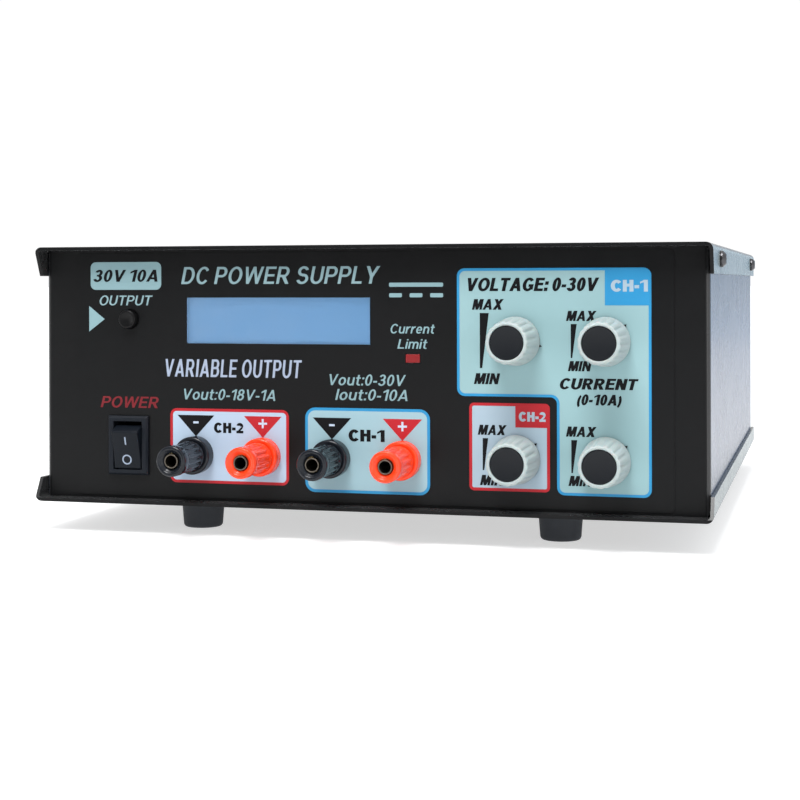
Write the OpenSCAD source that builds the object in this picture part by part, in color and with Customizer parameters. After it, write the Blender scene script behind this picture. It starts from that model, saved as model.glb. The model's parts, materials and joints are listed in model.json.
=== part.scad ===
// Two-channel bench power supply: a linear DC supply in a folded sheet-steel case.
// The front has four potentiometer knobs, four binding posts, a rocker power switch, an output
// button, a limit lamp and a character display. The rear has a mains inlet, a fuse and a fan.
// Millimetres. +X is right as seen from the front, the front faces -Y, and +Z is up.
// The origin is the centre of the footprint, level with the undersides of the feet.

/* [Case] */
// Width over the side flanges of the covers
case_w = 240; // [238:1:260]
// Height of the case without its feet
case_h = 91; // [91:1:110]
// Depth from the front panel's face to the rear panel's face
case_d = 262.5; // [262.5:0.5:300]
// Thickness of the steel sheet
sheet = 1.2; // [1:0.1:1.4]
// How far each cover stands out past the front and rear panels
visor = 6.5; // [4:0.5:8]
// The same at the free edge of a cover's side flange
visor_low = 2.5; // [1.5:0.5:4]
// Height of the top cover's side flange
top_flange = 10.3; // [9:0.1:14]
// Height of the bottom cover's side flange
bottom_flange = 8.2; // [6:0.1:12]
// Outer radius of the covers' bends
cover_bend = 2.4; // [1.8:0.1:4]
// Outer radius of the front panel's upright bends
corner_bend = 2; // [1.8:0.1:4]
// Gap between a cover's flange and the side wall
flange_gap = 0.2; // [0.1:0.1:0.4]

/* [Feet] */
// Height of a foot
foot_h = 10.8; // [9:0.2:15]
// Diameter of a foot at the floor
foot_d = 13.8; // [12:0.2:18]
// Diameter of a foot at the case
foot_top_d = 15.8; // [14:0.2:20]
// Distance of the feet from the middle of the case
foot_x = 66; // [50:1:100]
// Distance of the feet behind the front panel and ahead of the rear panel
foot_inset = 20; // [15:1:30]

/* [Knobs] */
// Diameter of a knob at its base
knob_d = 16.6; // [16:0.1:20]
// Diameter of a knob at its front rim
knob_front_d = 14.1; // [13.6:0.1:16]
// Length of a knob
knob_l = 16.7; // [16:0.1:20]
// Number of flutes round a knob
knob_flutes = 18; // [12:1:24]
// Diameter of the black cap in a knob
knob_cap_d = 11.4; // [9:0.1:12]
// Distance of the two knob columns from the middle of the panel
knob_x = [54.3, 84.5]; // [40:0.1:100]
// Height of the two knob rows above the case's underside
knob_z = [18.6, 58.3]; // [15:0.1:70]

/* [Binding posts] */
// Distance of each post from the middle of the panel
post_x = [-60.7, -35.7, -10.4, 14.8]; // [-70:0.1:24]
// Height of the posts above the case's underside
post_z = 17.4; // [15:0.1:22]
// Distance that a post stands out from the panel
post_l = 23.8; // [23.8:0.1:28]
// Diameter of a post's screw cap
post_d = 10.7; // [10:0.1:12]
// Diameter of a post's fixed collar
collar_d = 13.3; // [12:0.1:16]
// Diameter of the socket for a 4 mm plug
socket_d = 4.06; // [4.02:0.01:4.1]
// Number of flutes round a screw cap
post_flutes = 14; // [10:1:18]

/* [Switch and button] */
// Width of the power switch's bezel
bezel_w = 15.3; // [15:0.1:16]
// Height of the power switch's bezel
bezel_h = 21; // [21:0.1:22]
// Middle of the power switch, across and up
switch_at = [-86.2, 20.2]; // [-95:0.1:30]
// Angle of the rocker from its middle position
rocker_tilt = 13; // [8:0.5:14]
// Middle of the output button, across and up
button_at = [-86, 65.2]; // [-95:0.1:80]
// Diameter of the output button
button_d = 6.4; // [5:0.1:8]

/* [Display] */
// Width of the display window
window_w = 67.5; // [60:0.5:72]
// Height of the display window
window_h = 16.2; // [14:0.2:20]
// Middle of the display window, across and up
window_at = [-30.3, 64.8]; // [-40:0.1:70]
// Middle of the current limit lamp, across and up
lamp_at = [18.5, 52.1]; // [0:0.1:60]

/* [Rear] */
// Distance that the fuse cap stands out from the rear panel
fuse_out = 12; // [11:0.5:16]
// Middle of the mains inlet, seen from behind, across and up
inlet_at = [82, 27]; // [20:1:90]
// Middle of the fuse holder, seen from behind, across and up
fuse_at = [48, 27]; // [15:1:60]
// Middle of the fan, seen from behind, across and up
fan_at = [-62, 45]; // [-80:1:50]

/* [Hidden] */
$fn = 48;
eps = 0.01;

// Overall depth: the binding posts reach furthest forward and the fuse cap furthest back.
overall_d = post_l + case_d + fuse_out;
panel_y = post_l - overall_d / 2;

body_half_w = case_w / 2 - sheet - flange_gap;
label_t = 0.3;
clear = 0.3;     // gap between pieces that move apart
running = 0.05;  // radial clearance of a shaft or screw in its hole

// Screws of the case: pan heads on 3 mm threads.
screw_r = 1.45;
screw_head_r = 2.85;
screw_head_h = 2;
screw_l = 6;
flange_screw_y = [28, case_d - 28];
flange_screw_z = case_h - top_flange / 2;
base_screw_x = body_half_w - 9;
base_screw_y = [45, case_d - 45];
lip_w = 14;

// Potentiometers: shaft, bushing and nut.
shaft_r = 3;
bushing_r = 3.45;
bushing_out = 7;
pot_r = 8.25;
pot_d = 9;
nut_h = 2;
knob_base = label_t + 0.8;
pointer_t = 0.5;
pointer_reach = 0.75;
pointer_w = 2.2;

// Where each knob is, and the angle of its pointer above level, as it is set.
voltage_at = [knob_x[0], knob_z[1]];
current_coarse_at = [knob_x[1], knob_z[1]];
current_fine_at = [knob_x[1], knob_z[0]];
ch2_voltage_at = [knob_x[0], knob_z[0]];
knob_places = [voltage_at, current_coarse_at, current_fine_at, ch2_voltage_at];
voltage_angle = -11;
current_coarse_angle = 40;
current_fine_angle = 37;
ch2_voltage_angle = 38;

// Binding posts, outwards from the panel: collar, then the screw cap round the stud.
stud_r = 2.45;
collar_top = 5.4;
spigot_r = 3.9;
cap_base = collar_top + clear;
insert_r = 3.6;
insert_base = 9;
insert_l = 8;
post_hole_r = stud_r + clear;

// Rocker, measured from its pivot.
rocker_w = 10.1;
rocker_half = 6.85;
rocker_face = 7;
pivot_r = 1;
bezel_t = 1.7;
opening_w = 10.9;
opening_h = 17.2;
pivot_depth = label_t + bezel_t - 5.3;

// Fan and transformer.
fan_w = 60;
fan_d = 25;
fan_bore_r = 28.5;
fan_pitch = 50;
toroid_r = 56;
toroid_hole_r = 18;
toroid_h = 50;
toroid_at = [-47, 165];

// Height of the main board above the case's underside.
main_board_z = 8;

// Heatsink, with its fins along the way of the air.
sink_at = [20, 130];
sink_l = 92;
sink_h = 70;
sink_base = 5;
fin_l = 62;
fin_t = 2;
fin_count = 9;

// ---- Frames: the case, its front panel and its rear panel ----

module in_case() translate([0, panel_y, foot_h]) children();

// On the front panel: x right, y up from the case's underside, z outwards from the panel's face.
module on_front(at) in_case() translate([at[0], 0, at[1]]) rotate([90, 0, 0]) children();

// The same on the rear panel, seen from behind.
module on_rear(at) in_case() translate([-at[0], case_d, at[1]]) rotate([90, 0, 180]) children();

// An outline in X and Z, extruded along Y from y0 to y1.
module extrude_y(y0, y1) translate([0, y1, 0]) rotate([90, 0, 0]) linear_extrude(y1 - y0) children();

// An outline in Y and Z, extruded along X from x0 to x1.
module extrude_x(x0, x1) translate([x0, 0, 0]) rotate([90, 0, 90]) linear_extrude(x1 - x0) children();

// ---- Shared shapes ----

module ring(outer_r, inner_r, h) {
  difference() {
    cylinder(h = h, r = outer_r);
    translate([0, 0, -1]) cylinder(h = h + 2, r = inner_r);
  }
}

module rounded_rect(w, h, r) {
  square([w - 2 * r, h], center = true);
  square([w, h - 2 * r], center = true);
  for (x = [-1, 1], y = [-1, 1]) translate([x * (w / 2 - r), y * (h / 2 - r)]) circle(r);
}

// A slab with its upper edges bevelled.
module bevelled_plate(w, h, t, bevel) {
  module slope(length)
    polygon([[-length / 2, 0], [length / 2, 0], [length / 2, t - bevel], [length / 2 - bevel, t],
             [-length / 2 + bevel, t], [-length / 2, t - bevel]]);
  intersection() {
    rotate([90, 0, 0]) linear_extrude(h, center = true) slope(w);
    rotate([90, 0, 90]) linear_extrude(w, center = true) slope(h);
  }
}

// A slab hanging below y = 0 with its two upper corners rounded.
module rounded_top(half_w, depth, r) {
  translate([-(half_w - r), -depth]) square([2 * (half_w - r), depth]);
  translate([-half_w, -depth]) square([2 * half_w, depth - r]);
  for (side = [-1, 1]) translate([side * (half_w - r), -r]) circle(r);
}

// Sheet folded down at both sides.
module folded_sheet(half_w, depth, r) {
  difference() {
    rounded_top(half_w, depth, r);
    translate([0, -sheet]) rounded_top(half_w - sheet, depth, r - sheet);
  }
}

// A cover in the case's frame, hanging below z = 0: folded sheet whose flanges slant back at the ends.
module folded_cover(flange) {
  difference() {
    extrude_y(-visor, case_d + visor) folded_sheet(case_w / 2, flange, cover_bend);
    for (end = [0, 1])
      translate([0, end * case_d, 0]) mirror([0, end, 0])
        extrude_x(-case_w / 2 - 1, case_w / 2 + 1)
          polygon([[-visor, -sheet], [-visor_low, -flange], [-visor_low, -flange - 1],
                   [-visor - 1, -flange - 1], [-visor - 1, -sheet]]);
  }
}

module hex(h, across_flats) cylinder(h = h, r = across_flats / sqrt(3), $fn = 6);

// Pan-head screw with a cross recess: its head stands on z = 0 and its thread goes down.
module pan_screw(r = screw_r, head_r = screw_head_r, head_h = screw_head_h, length = screw_l) {
  difference() {
    union() {
      cylinder(h = head_h * 0.45, r = head_r);
      translate([0, 0, head_h * 0.45]) cylinder(h = head_h * 0.55, r1 = head_r, r2 = head_r * 0.62);
      translate([0, 0, -length]) cylinder(h = length + eps, r = r);
    }
    for (turn = [0, 90])
      rotate(turn) translate([-head_r * 0.55, -head_r * 0.13, head_h * 0.45])
        cube([head_r * 1.1, head_r * 0.26, head_h]);
  }
}

// ---- Case ----

// Places of the screws through the top cover's flanges, heads outwards.
module at_flange_screws() {
  for (side = [-1, 1], y = flange_screw_y)
    in_case() translate([side * case_w / 2, y, flange_screw_z]) rotate([0, side * 90, 0]) children();
}

// Places of the screws up through the bottom cover, heads down.
module at_base_screws() {
  for (x = [-base_screw_x, base_screw_x], y = base_screw_y)
    in_case() translate([x, y, 0]) rotate([180, 0, 0]) children();
}

module at_feet() {
  for (x = [-foot_x, foot_x], y = [foot_inset, case_d - foot_inset]) in_case() translate([x, y, 0]) children();
}

module at_board_posts() {
  for (x = [18, 100], y = [40, 118]) in_case() translate([x, y, 0]) children();
}

module top_cover() {
  color("#26272a") difference() {
    in_case() translate([0, 0, case_h]) folded_cover(top_flange);
    at_flange_screws() translate([0, 0, -screw_l]) cylinder(h = 2 * screw_l, r = screw_r + 0.15);
  }
}

module bottom_cover() {
  intake_y = [for (i = [0:7]) 50 + 9 * i];
  color("#26272a") difference() {
    union() {
      in_case() mirror([0, 0, 1]) folded_cover(bottom_flange);
      at_board_posts() cylinder(h = main_board_z, r = 3);
    }
    at_base_screws() translate([0, 0, -screw_l]) cylinder(h = 2 * screw_l, r = screw_r + 0.15);
    at_feet() translate([0, 0, -1]) cylinder(h = 4, r = screw_r + running);
    at_board_posts() translate([0, 0, main_board_z - 5]) cylinder(h = 6, r = 1.25);
    in_case() translate([toroid_at[0], toroid_at[1], -1]) cylinder(h = 4, r = 3.3);
    for (y = intake_y)
      in_case() translate([60, y, sheet / 2]) cube([44, 3, 2 * sheet], center = true);
  }
}

module front_openings(extra = 0) {
  for (at = knob_places) on_front(at) cylinder(h = 4, r = bushing_r + 0.15 + extra, center = true);
  for (x = post_x) on_front([x, post_z]) cylinder(h = 4, r = spigot_r + 0.1 + extra, center = true);
  on_front(button_at) cylinder(h = 4, r = button_d / 2 + 0.4, center = true);
  on_front(switch_at) cube([13 + 2 * extra, 19 + 2 * extra, 4], center = true);
  on_front(window_at) cube([window_w, window_h, 4], center = true);
  on_front(lamp_at) cube([5.3, 3.1, 4], center = true);
}

// Room for the inner bends of the two covers along the upper and lower edges of the side walls.
module cover_bend_room() {
  w = 1.02;
  h = 0.6;
  for (x = [-body_half_w - eps, body_half_w + eps - w], z = [sheet - eps, case_h - sheet - h])
    in_case() translate([x, -1, z]) cube([w, case_d + 2, h + eps]);
}

// Front panel and both side walls, bent from one sheet.
module front_shell() {
  wall_l = case_d - sheet;
  color("#26272a") difference() {
    union() {
      in_case() translate([0, 0, sheet])
        linear_extrude(case_h - 2 * sheet) mirror([0, 1]) folded_sheet(body_half_w, wall_l, corner_bend);
      for (side = [0, 1])
        in_case() mirror([side, 0, 0]) translate([body_half_w - sheet - lip_w + eps, 30, sheet])
          cube([lip_w, case_d - 60, sheet]);
    }
    front_openings();
    cover_bend_room();
    at_flange_screws() translate([0, 0, -screw_l]) cylinder(h = 2 * screw_l, r = screw_r + running);
    at_base_screws() translate([0, 0, -screw_l]) cylinder(h = 2 * screw_l, r = screw_r + running);
  }
}

module rear_panel() {
  flange_w = 12;
  inner_half = body_half_w - sheet - 0.1;
  color("#26272a") difference() {
    union() {
      in_case() translate([-body_half_w, case_d - sheet, sheet])
        cube([2 * body_half_w, sheet, case_h - 2 * sheet]);
      for (side = [0, 1])
        in_case() mirror([side, 0, 0]) translate([inner_half - sheet, case_d - sheet - flange_w, 2 * sheet + 1])
          cube([sheet, flange_w + eps, case_h - 4 * sheet - 2]);
    }
    on_rear(inlet_at) cube([27.4, 20, 6], center = true);
    on_rear(fuse_at) cylinder(h = 6, r = 6.2, center = true);
    on_rear(fan_at) cylinder(h = 6, r = fan_bore_r, center = true);
    at_fan_screws() cylinder(h = 6, r = 2.2, center = true);
    cover_bend_room();
  }
}

module front_label() {
  label_w = 213.5;
  label_h = case_h - 4.6;
  color("#1d1f24") difference() {
    on_front([0.25, case_h / 2]) linear_extrude(label_t) rounded_rect(label_w, label_h, 2);
    front_openings(0.3);
  }
}

module feet() {
  color("#2b2e35") at_feet() mirror([0, 0, 1]) difference() {
    union() {
      cylinder(h = foot_h - 0.8, d1 = foot_top_d, d2 = foot_d + 0.4);
      translate([0, 0, foot_h - 0.8]) cylinder(h = 0.8, d1 = foot_d + 0.4, d2 = foot_d - 0.8);
    }
    translate([0, 0, -1]) cylinder(h = foot_h, r = screw_r + 0.15);
    translate([0, 0, 2]) cylinder(h = foot_h, r = screw_head_r + 0.35);
  }
}

module case_screws() {
  color("#3a3b3e") {
    at_flange_screws() pan_screw();
    at_base_screws() pan_screw();
    at_feet() mirror([0, 0, 1]) translate([0, 0, 2]) pan_screw();
  }
}

// ---- Knobs and potentiometers ----

// Tapered fluted knob, its base on z = 0. Its inside clears the nut and the bushing.
module knob() {
  lean = atan((knob_d - knob_front_d) / 2 / knob_l);
  skirt = 3.2;
  nut_room = label_t + nut_h + 1 - knob_base;
  hub = bushing_out + 0.6 - knob_base;
  cap_depth = 1.2;
  difference() {
    cylinder(h = knob_l, d1 = knob_d, d2 = knob_front_d);
    translate([0, 0, -1]) cylinder(h = nut_room + 1, r = 7);
    translate([0, 0, -1]) cylinder(h = hub + 1, r = bushing_r + 0.75);
    translate([0, 0, -1]) cylinder(h = knob_l - 1, r = shaft_r + 0.02);
    translate([0, 0, knob_l - cap_depth]) cylinder(h = cap_depth + 1, d = knob_cap_d + 0.1);
    for (i = [0:knob_flutes - 1])
      rotate(i * 360 / knob_flutes) translate([knob_front_d / 2, 0, knob_l]) rotate([0, -lean, 0])
        translate([0.55, 0, -(knob_l - skirt)]) cylinder(h = knob_l, r = 0.8, $fn = 24);
  }
}

// Black disc in the knob's front, very slightly dished.
module knob_cap() {
  thick = 1;
  dish = 0.2;
  r = knob_cap_d / 2;
  rotate_extrude() polygon([[0, 0], [r, 0], [r, thick], [r - 0.6, thick], [0, thick - dish]]);
}

// Thin ring behind the knob, with a short pointed tip.
module pointer(angle) {
  ring_r = knob_d / 2 - 0.15;
  tip_r = knob_d / 2 + pointer_reach;
  difference() {
    union() {
      cylinder(h = pointer_t, r = ring_r);
      rotate(angle) linear_extrude(pointer_t)
        polygon([[ring_r - 1, -pointer_w / 2], [tip_r, 0], [ring_r - 1, pointer_w / 2]]);
    }
    translate([0, 0, -1]) cylinder(h = pointer_t + 2, r = 7);
  }
}

module shaft() translate([0, 0, -6]) cylinder(h = 6 + knob_base + knob_l - 2.3, r = shaft_r);

module knob_on(at, angle) color("#dfe3df") on_front(at) translate([0, 0, knob_base]) rotate(angle) knob();
module knob_cap_on(at) color("#2c2e33") on_front(at) translate([0, 0, knob_base + knob_l - 1.15]) knob_cap();
module pointer_on(at, angle) color("#1a1b1e") on_front(at) translate([0, 0, knob_base - pointer_t]) pointer(angle);
module shaft_on(at) color("#b9bcc0") on_front(at) shaft();

module pot_bodies() {
  color("#8f9498") for (at = knob_places) on_front(at) difference() {
    union() {
      translate([0, 0, -sheet - pot_d]) cylinder(h = pot_d, r = pot_r);
      translate([0, 0, -sheet - eps]) cylinder(h = sheet + bushing_out + eps, r = bushing_r);
      for (x = [-5, 0, 5]) translate([x - 0.6, -pot_r - 4, -sheet - 6]) cube([1.2, 6, 0.8]);
    }
    translate([0, 0, -6.5]) cylinder(h = 20, r = shaft_r + running);
  }
}

module pot_nuts() {
  color("#c3c6c9") for (at = knob_places) on_front(at) translate([0, 0, label_t]) difference() {
    hex(nut_h, 10);
    translate([0, 0, -1]) cylinder(h = nut_h + 2, r = bushing_r + 0.02);
  }
}

// ---- Binding posts ----

// Fluted screw cap, turned round z, with the socket's hole through it and a pocket for the insert.
module post_cap() {
  r = post_d / 2;
  ring_l = 4.3;
  lip_l = 1.7;
  edge = 0.5;
  barrel_r = r - 0.3;
  pocket_gap = 0.05;
  difference() {
    rotate_extrude() polygon([
      [post_hole_r, cap_base], [r - edge, cap_base], [r, cap_base + edge], [r, cap_base + lip_l],
      [barrel_r, cap_base + lip_l + 0.4], [barrel_r, post_l - ring_l - 0.4], [r, post_l - ring_l],
      [r, post_l - edge], [r - edge, post_l], [r - 1.1, post_l], [post_hole_r + 0.3, post_l - 0.5],
      [post_hole_r, post_l - 0.8],
      [post_hole_r, insert_base + insert_l + pocket_gap], [insert_r + pocket_gap, insert_base + insert_l + pocket_gap],
      [insert_r + pocket_gap, insert_base - pocket_gap], [post_hole_r, insert_base - pocket_gap]
    ]);
    for (i = [0:post_flutes - 1])
      rotate(i * 360 / post_flutes) translate([r + 0.05, 0, cap_base + lip_l + 0.9])
        cylinder(h = post_l - ring_l - cap_base - lip_l - 1.8, r = 0.75, $fn = 24);
  }
}

module post_cap_on(x, tone) color(tone) on_front([x, post_z]) post_cap();

// Threaded brass bush in the cap.
module post_insert_on(x) {
  color("#c9a94f") on_front([x, post_z]) translate([0, 0, insert_base]) ring(insert_r, stud_r + running, insert_l);
}

// Fixed collar with a spigot through the panel.
module post_collar() {
  r = collar_d / 2;
  edge = 0.5;
  bore_r = stud_r + running;
  rotate_extrude() polygon([
    [bore_r, -2.5], [spigot_r, -2.5], [spigot_r, label_t], [r, label_t],
    [r, collar_top - edge], [r - edge, collar_top], [bore_r, collar_top]
  ]);
}

module black_post_collars() color("#24262a") for (i = [0, 2]) on_front([post_x[i], post_z]) post_collar();
module red_post_collars() color("#e8432a") for (i = [1, 3]) on_front([post_x[i], post_z]) post_collar();

// Threaded stud with the plug's socket in its end, and its nut behind the panel.
module post_studs() {
  socket_l = 21;
  stud_end = post_l - 0.7;
  color("#c9a94f") for (x = post_x) on_front([x, post_z]) {
    difference() {
      translate([0, 0, -14]) cylinder(h = 14 + stud_end, r = stud_r);
      translate([0, 0, stud_end - socket_l]) cylinder(h = socket_l + 1, d = socket_d);
    }
    translate([0, 0, -6.5]) difference() {
      hex(4, 8);
      translate([0, 0, -1]) cylinder(h = 6, r = stud_r + 0.02);
    }
  }
}

// ---- Power switch ----

module switch_housing() {
  body_w = 12.6;
  body_h = 18.6;
  body_back = -14;
  cavity_back = -8.5;
  front = label_t + bezel_t;
  color("#222327") on_front(switch_at) difference() {
    union() {
      translate([0, 0, label_t]) bevelled_plate(bezel_w, bezel_h, bezel_t, 0.7);
      translate([-body_w / 2, -body_h / 2, body_back]) cube([body_w, body_h, label_t - body_back + eps]);
    }
    translate([-opening_w / 2, -opening_h / 2, cavity_back]) cube([opening_w, opening_h, front - cavity_back + 1]);
    translate([-body_w, 0, pivot_depth]) rotate([0, 90, 0]) cylinder(h = 2 * body_w, r = pivot_r + 0.06);
  }
}

module switch_rocker() {
  dip = 0.5;
  color("#2a2c32") on_front(switch_at) translate([0, 0, pivot_depth]) rotate([rocker_tilt, 0, 0]) {
    extrude_x(-rocker_w / 2, rocker_w / 2) polygon([
      [-rocker_half, rocker_face], [0, rocker_face - dip], [rocker_half, rocker_face],
      [7.9, 2], [5, -1.5], [-5, -1.5], [-7.9, 2]
    ]);
    rotate([0, 90, 0]) cylinder(h = 12, r = pivot_r, center = true);
  }
}

module switch_terminals() {
  color("#c9a94f") for (y = [-6, 0, 6])
    on_front(switch_at) translate([-2.4, y - 0.4, -22.5]) cube([4.8, 0.8, 8.5]);
}

// ---- Output button and lamp ----

module output_button() {
  r = button_d / 2;
  out = label_t + 2.6;
  edge = 0.5;
  color("#18191c") on_front(button_at) rotate_extrude() polygon([
    [0, -9], [1.6, -9], [1.6, -4], [4.2, -4], [4.2, -2.4], [r, -2.4], [r, out - edge], [r - edge, out], [0, out]
  ]);
}

module output_button_body() {
  color("#2f3136") on_front(button_at) difference() {
    translate([-6, -6, -15.8]) cube([12, 12, 8.6]);
    translate([0, 0, -13]) cylinder(h = 8, r = 1.6 + running);
  }
}

module limit_lamp() {
  color("#c62a2f") on_front(lamp_at) {
    translate([-2.5, -1.45, -5]) cube([5, 2.9, 5 + label_t + 0.1]);
    for (x = [-1.27, 1.27]) translate([x - 0.25, -0.25, -15.8]) cube([0.5, 0.5, 10.8 + eps]);
  }
}

// ---- Display ----

module display_window() {
  rim = 3;
  color("#9fc3e6") on_front(window_at) {
    translate([-window_w / 2 + 0.1, -window_h / 2 + 0.1, -sheet - eps])
      cube([window_w - 0.2, window_h - 0.2, sheet + label_t + eps]);
    translate([-window_w / 2 - rim, -window_h / 2 - rim, -sheet - 1])
      cube([window_w + 2 * rim, window_h + 2 * rim, 1]);
  }
}

module lcd_glass() color("#7aa3d6") on_front(window_at) translate([-36, -12, -5.6]) cube([72, 24, 3.2]);

module lcd_board() {
  color("#1f5a3a") on_front(window_at) difference() {
    translate([-40, -18, -7.2]) cube([80, 36, 1.6]);
    for (x = [-37.5, 37.5], y = [-15.5, 15.5]) translate([x, y, -8]) cylinder(h = 3, r = 1.5);
  }
}

module control_board() color("#1f5a3a") on_front([0, 0]) translate([-98, 31, -17.4]) cube([133, 55, 1.6]);

// ---- Rear: inlet, fuse and fan ----

module inlet_housing() {
  flange_t = 2.5;
  color("#202124") on_rear(inlet_at) difference() {
    union() {
      bevelled_plate(31, 25, flange_t, 0.8);
      translate([-13.5, -9.8, -22]) cube([27, 19.6, 22 + eps]);
    }
    // Plug cavity with two cut corners
    translate([0, 0, -16]) linear_extrude(30)
      polygon([[-12, -8.1], [12, -8.1], [12, 4.6], [8.5, 8.1], [-8.5, 8.1], [-12, 4.6]]);
    at_inlet_pins() inlet_pin();
  }
}

// Places of the outer ends of the inlet's three pins.
module at_inlet_pins() {
  for (at = [[-7, -1, -1], [0, 3, 0.5], [7, -1, -1]]) translate(at) children();
}

module inlet_pin() translate([-1, -2, -26]) cube([2, 4, 26]);

module inlet_pins() color("#c3c6c9") on_rear(inlet_at) at_inlet_pins() inlet_pin();

module fuse_holder() {
  color("#202124") on_rear(fuse_at) difference() {
    union() {
      cylinder(h = 2, r = 7.6);
      translate([0, 0, -32]) cylinder(h = 32 + eps, r = 6.05);
    }
    translate([0, 0, -26]) cylinder(h = 40, r = 4.6);
  }
}

// Bayonet cap that turns in the holder.
module fuse_cap() {
  color("#26272b") on_rear(fuse_at) difference() {
    union() {
      translate([0, 0, 2 + clear]) cylinder(h = fuse_out - 2 - clear - 0.6, r = 6.1);
      translate([0, 0, fuse_out - 0.6 - eps]) cylinder(h = 0.6 + eps, r1 = 6.1, r2 = 5.5);
      translate([0, 0, -10]) cylinder(h = 13, r = 4.55);
    }
    for (i = [0:15])
      rotate(i * 22.5) translate([6.4, 0, 4]) cylinder(h = fuse_out, r = 0.6, $fn = 24);
    translate([-4, -0.6, fuse_out - 1.2]) cube([8, 1.2, 2]);
  }
}

module at_fan_screws() {
  for (x = [-1, 1], y = [-1, 1])
    on_rear(fan_at) translate([x * fan_pitch / 2, y * fan_pitch / 2, 0]) children();
}

// Square frame, with four arms to the plate that carries the rotor.
module fan_frame() {
  arm_t = 4;
  color("#1e1f22") on_rear(fan_at) translate([0, 0, -sheet - fan_d]) difference() {
    union() {
      difference() {
        linear_extrude(fan_d) rounded_rect(fan_w, fan_w, 3);
        translate([0, 0, -1]) cylinder(h = fan_d + 2, r = fan_bore_r);
      }
      cylinder(h = arm_t, r = 13);
      for (turn = [45:90:315]) rotate(turn) translate([10, -2, 0]) cube([fan_bore_r - 8, 4, arm_t]);
    }
    translate([0, 0, -1]) cylinder(h = 10, r = 1.5 + running);
    for (x = [-1, 1], y = [-1, 1])
      translate([x * fan_pitch / 2, y * fan_pitch / 2, -1]) cylinder(h = fan_d + 2, r = 1.95);
  }
}

module fan_rotor() {
  hub_r = 12.5;
  hub_base = 4.6;
  hub_h = 18.6;
  blades = 7;
  color("#2a2b2f") on_rear(fan_at) translate([0, 0, -sheet - fan_d]) {
    translate([0, 0, hub_base]) cylinder(h = hub_h, r = hub_r);
    translate([0, 0, 0.4]) cylinder(h = hub_base, r = 1.5);
    for (i = [0:blades - 1])
      rotate(i * 360 / blades) translate([hub_r - 1, 0, hub_base + hub_h / 2]) rotate([38, 0, 0])
        translate([0, -8, -0.7]) cube([fan_bore_r - hub_r - 0.9, 16, 1.4]);
  }
}

// Finger guard of round rings and spokes, standing off the rear panel.
module fan_guard() {
  wire = 1.6;
  rise = 1;
  color("#b4b7ba") on_rear(fan_at) {
    translate([0, 0, rise]) linear_extrude(wire) {
      for (r = [10:6:28]) difference() { circle(r + wire / 2); circle(r - wire / 2); }
      for (turn = [45, 135]) rotate(turn) square([2 * 33, wire], center = true);
    }
    linear_extrude(rise + eps)
      for (x = [-1, 1], y = [-1, 1]) translate([x, y] * fan_pitch / 2) difference() { circle(4); circle(2.2); }
    translate([0, 0, rise]) linear_extrude(wire)
      for (x = [-1, 1], y = [-1, 1]) translate([x, y] * fan_pitch / 2) difference() { circle(4); circle(2.2); }
  }
}

module fan_screws() {
  color("#3a3b3e") at_fan_screws() translate([0, 0, 2.6]) pan_screw(1.9, 3.5, 2.2, 14);
}

// ---- Inside ----

module transformer() {
  r = 6;
  color("#c79a3a") in_case() translate([toroid_at[0], toroid_at[1], sheet + toroid_h / 2])
    rotate_extrude($fn = 96) translate([(toroid_r + toroid_hole_r) / 2, 0])
      rounded_rect(toroid_r - toroid_hole_r, toroid_h, r);
}

// Bolt through the toroid's middle, with a dished washer and a nut.
module transformer_clamp() {
  washer_z = sheet + toroid_h;
  color("#c3c6c9") in_case() translate([toroid_at[0], toroid_at[1], 0]) {
    translate([0, 0, -4]) hex(4, 10);
    translate([0, 0, -eps]) cylinder(h = washer_z + 12, r = 3);
    translate([0, 0, washer_z]) cylinder(h = 2.5, r = 30);
    translate([0, 0, washer_z + 2.5 - eps]) hex(5, 10);
  }
}

module heatsink() {
  gap = (sink_h - fin_t) / (fin_count - 1);
  color("#a9adb2") in_case() translate([sink_at[0], sink_at[1], sheet]) {
    cube([sink_base, sink_l, sink_h]);
    for (i = [0:fin_count - 1]) translate([sink_base - eps, 0, i * gap]) cube([fin_l, sink_l, fin_t]);
  }
}

// Pass transistors and the bridge rectifier, bolted to the heatsink's back.
module power_semiconductors() {
  color("#2c2d30") in_case() {
    for (i = [0:3]) translate([sink_at[0] - 5, sink_at[1] + 4 + 22 * i, 44]) cube([5, 16, 20]);
    translate([sink_at[0] - 8, sink_at[1] + 30, 8]) cube([8, 28, 28]);
  }
}

module main_board() {
  color("#1f5a3a") difference() {
    in_case() translate([12, 34, main_board_z]) cube([94, 90, 1.6]);
    at_board_posts() translate([0, 0, main_board_z - 1]) cylinder(h = 4, r = 1.6);
  }
}

module filter_capacitors() {
  color("#30343c") in_case() for (x = [40, 80])
    translate([x, 82, main_board_z + 1.6]) cylinder(h = 50, d = 35);
}

// ---- One line for each node ----

top_cover();
bottom_cover();
front_shell();
rear_panel();
front_label();
feet();
case_screws();

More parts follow.
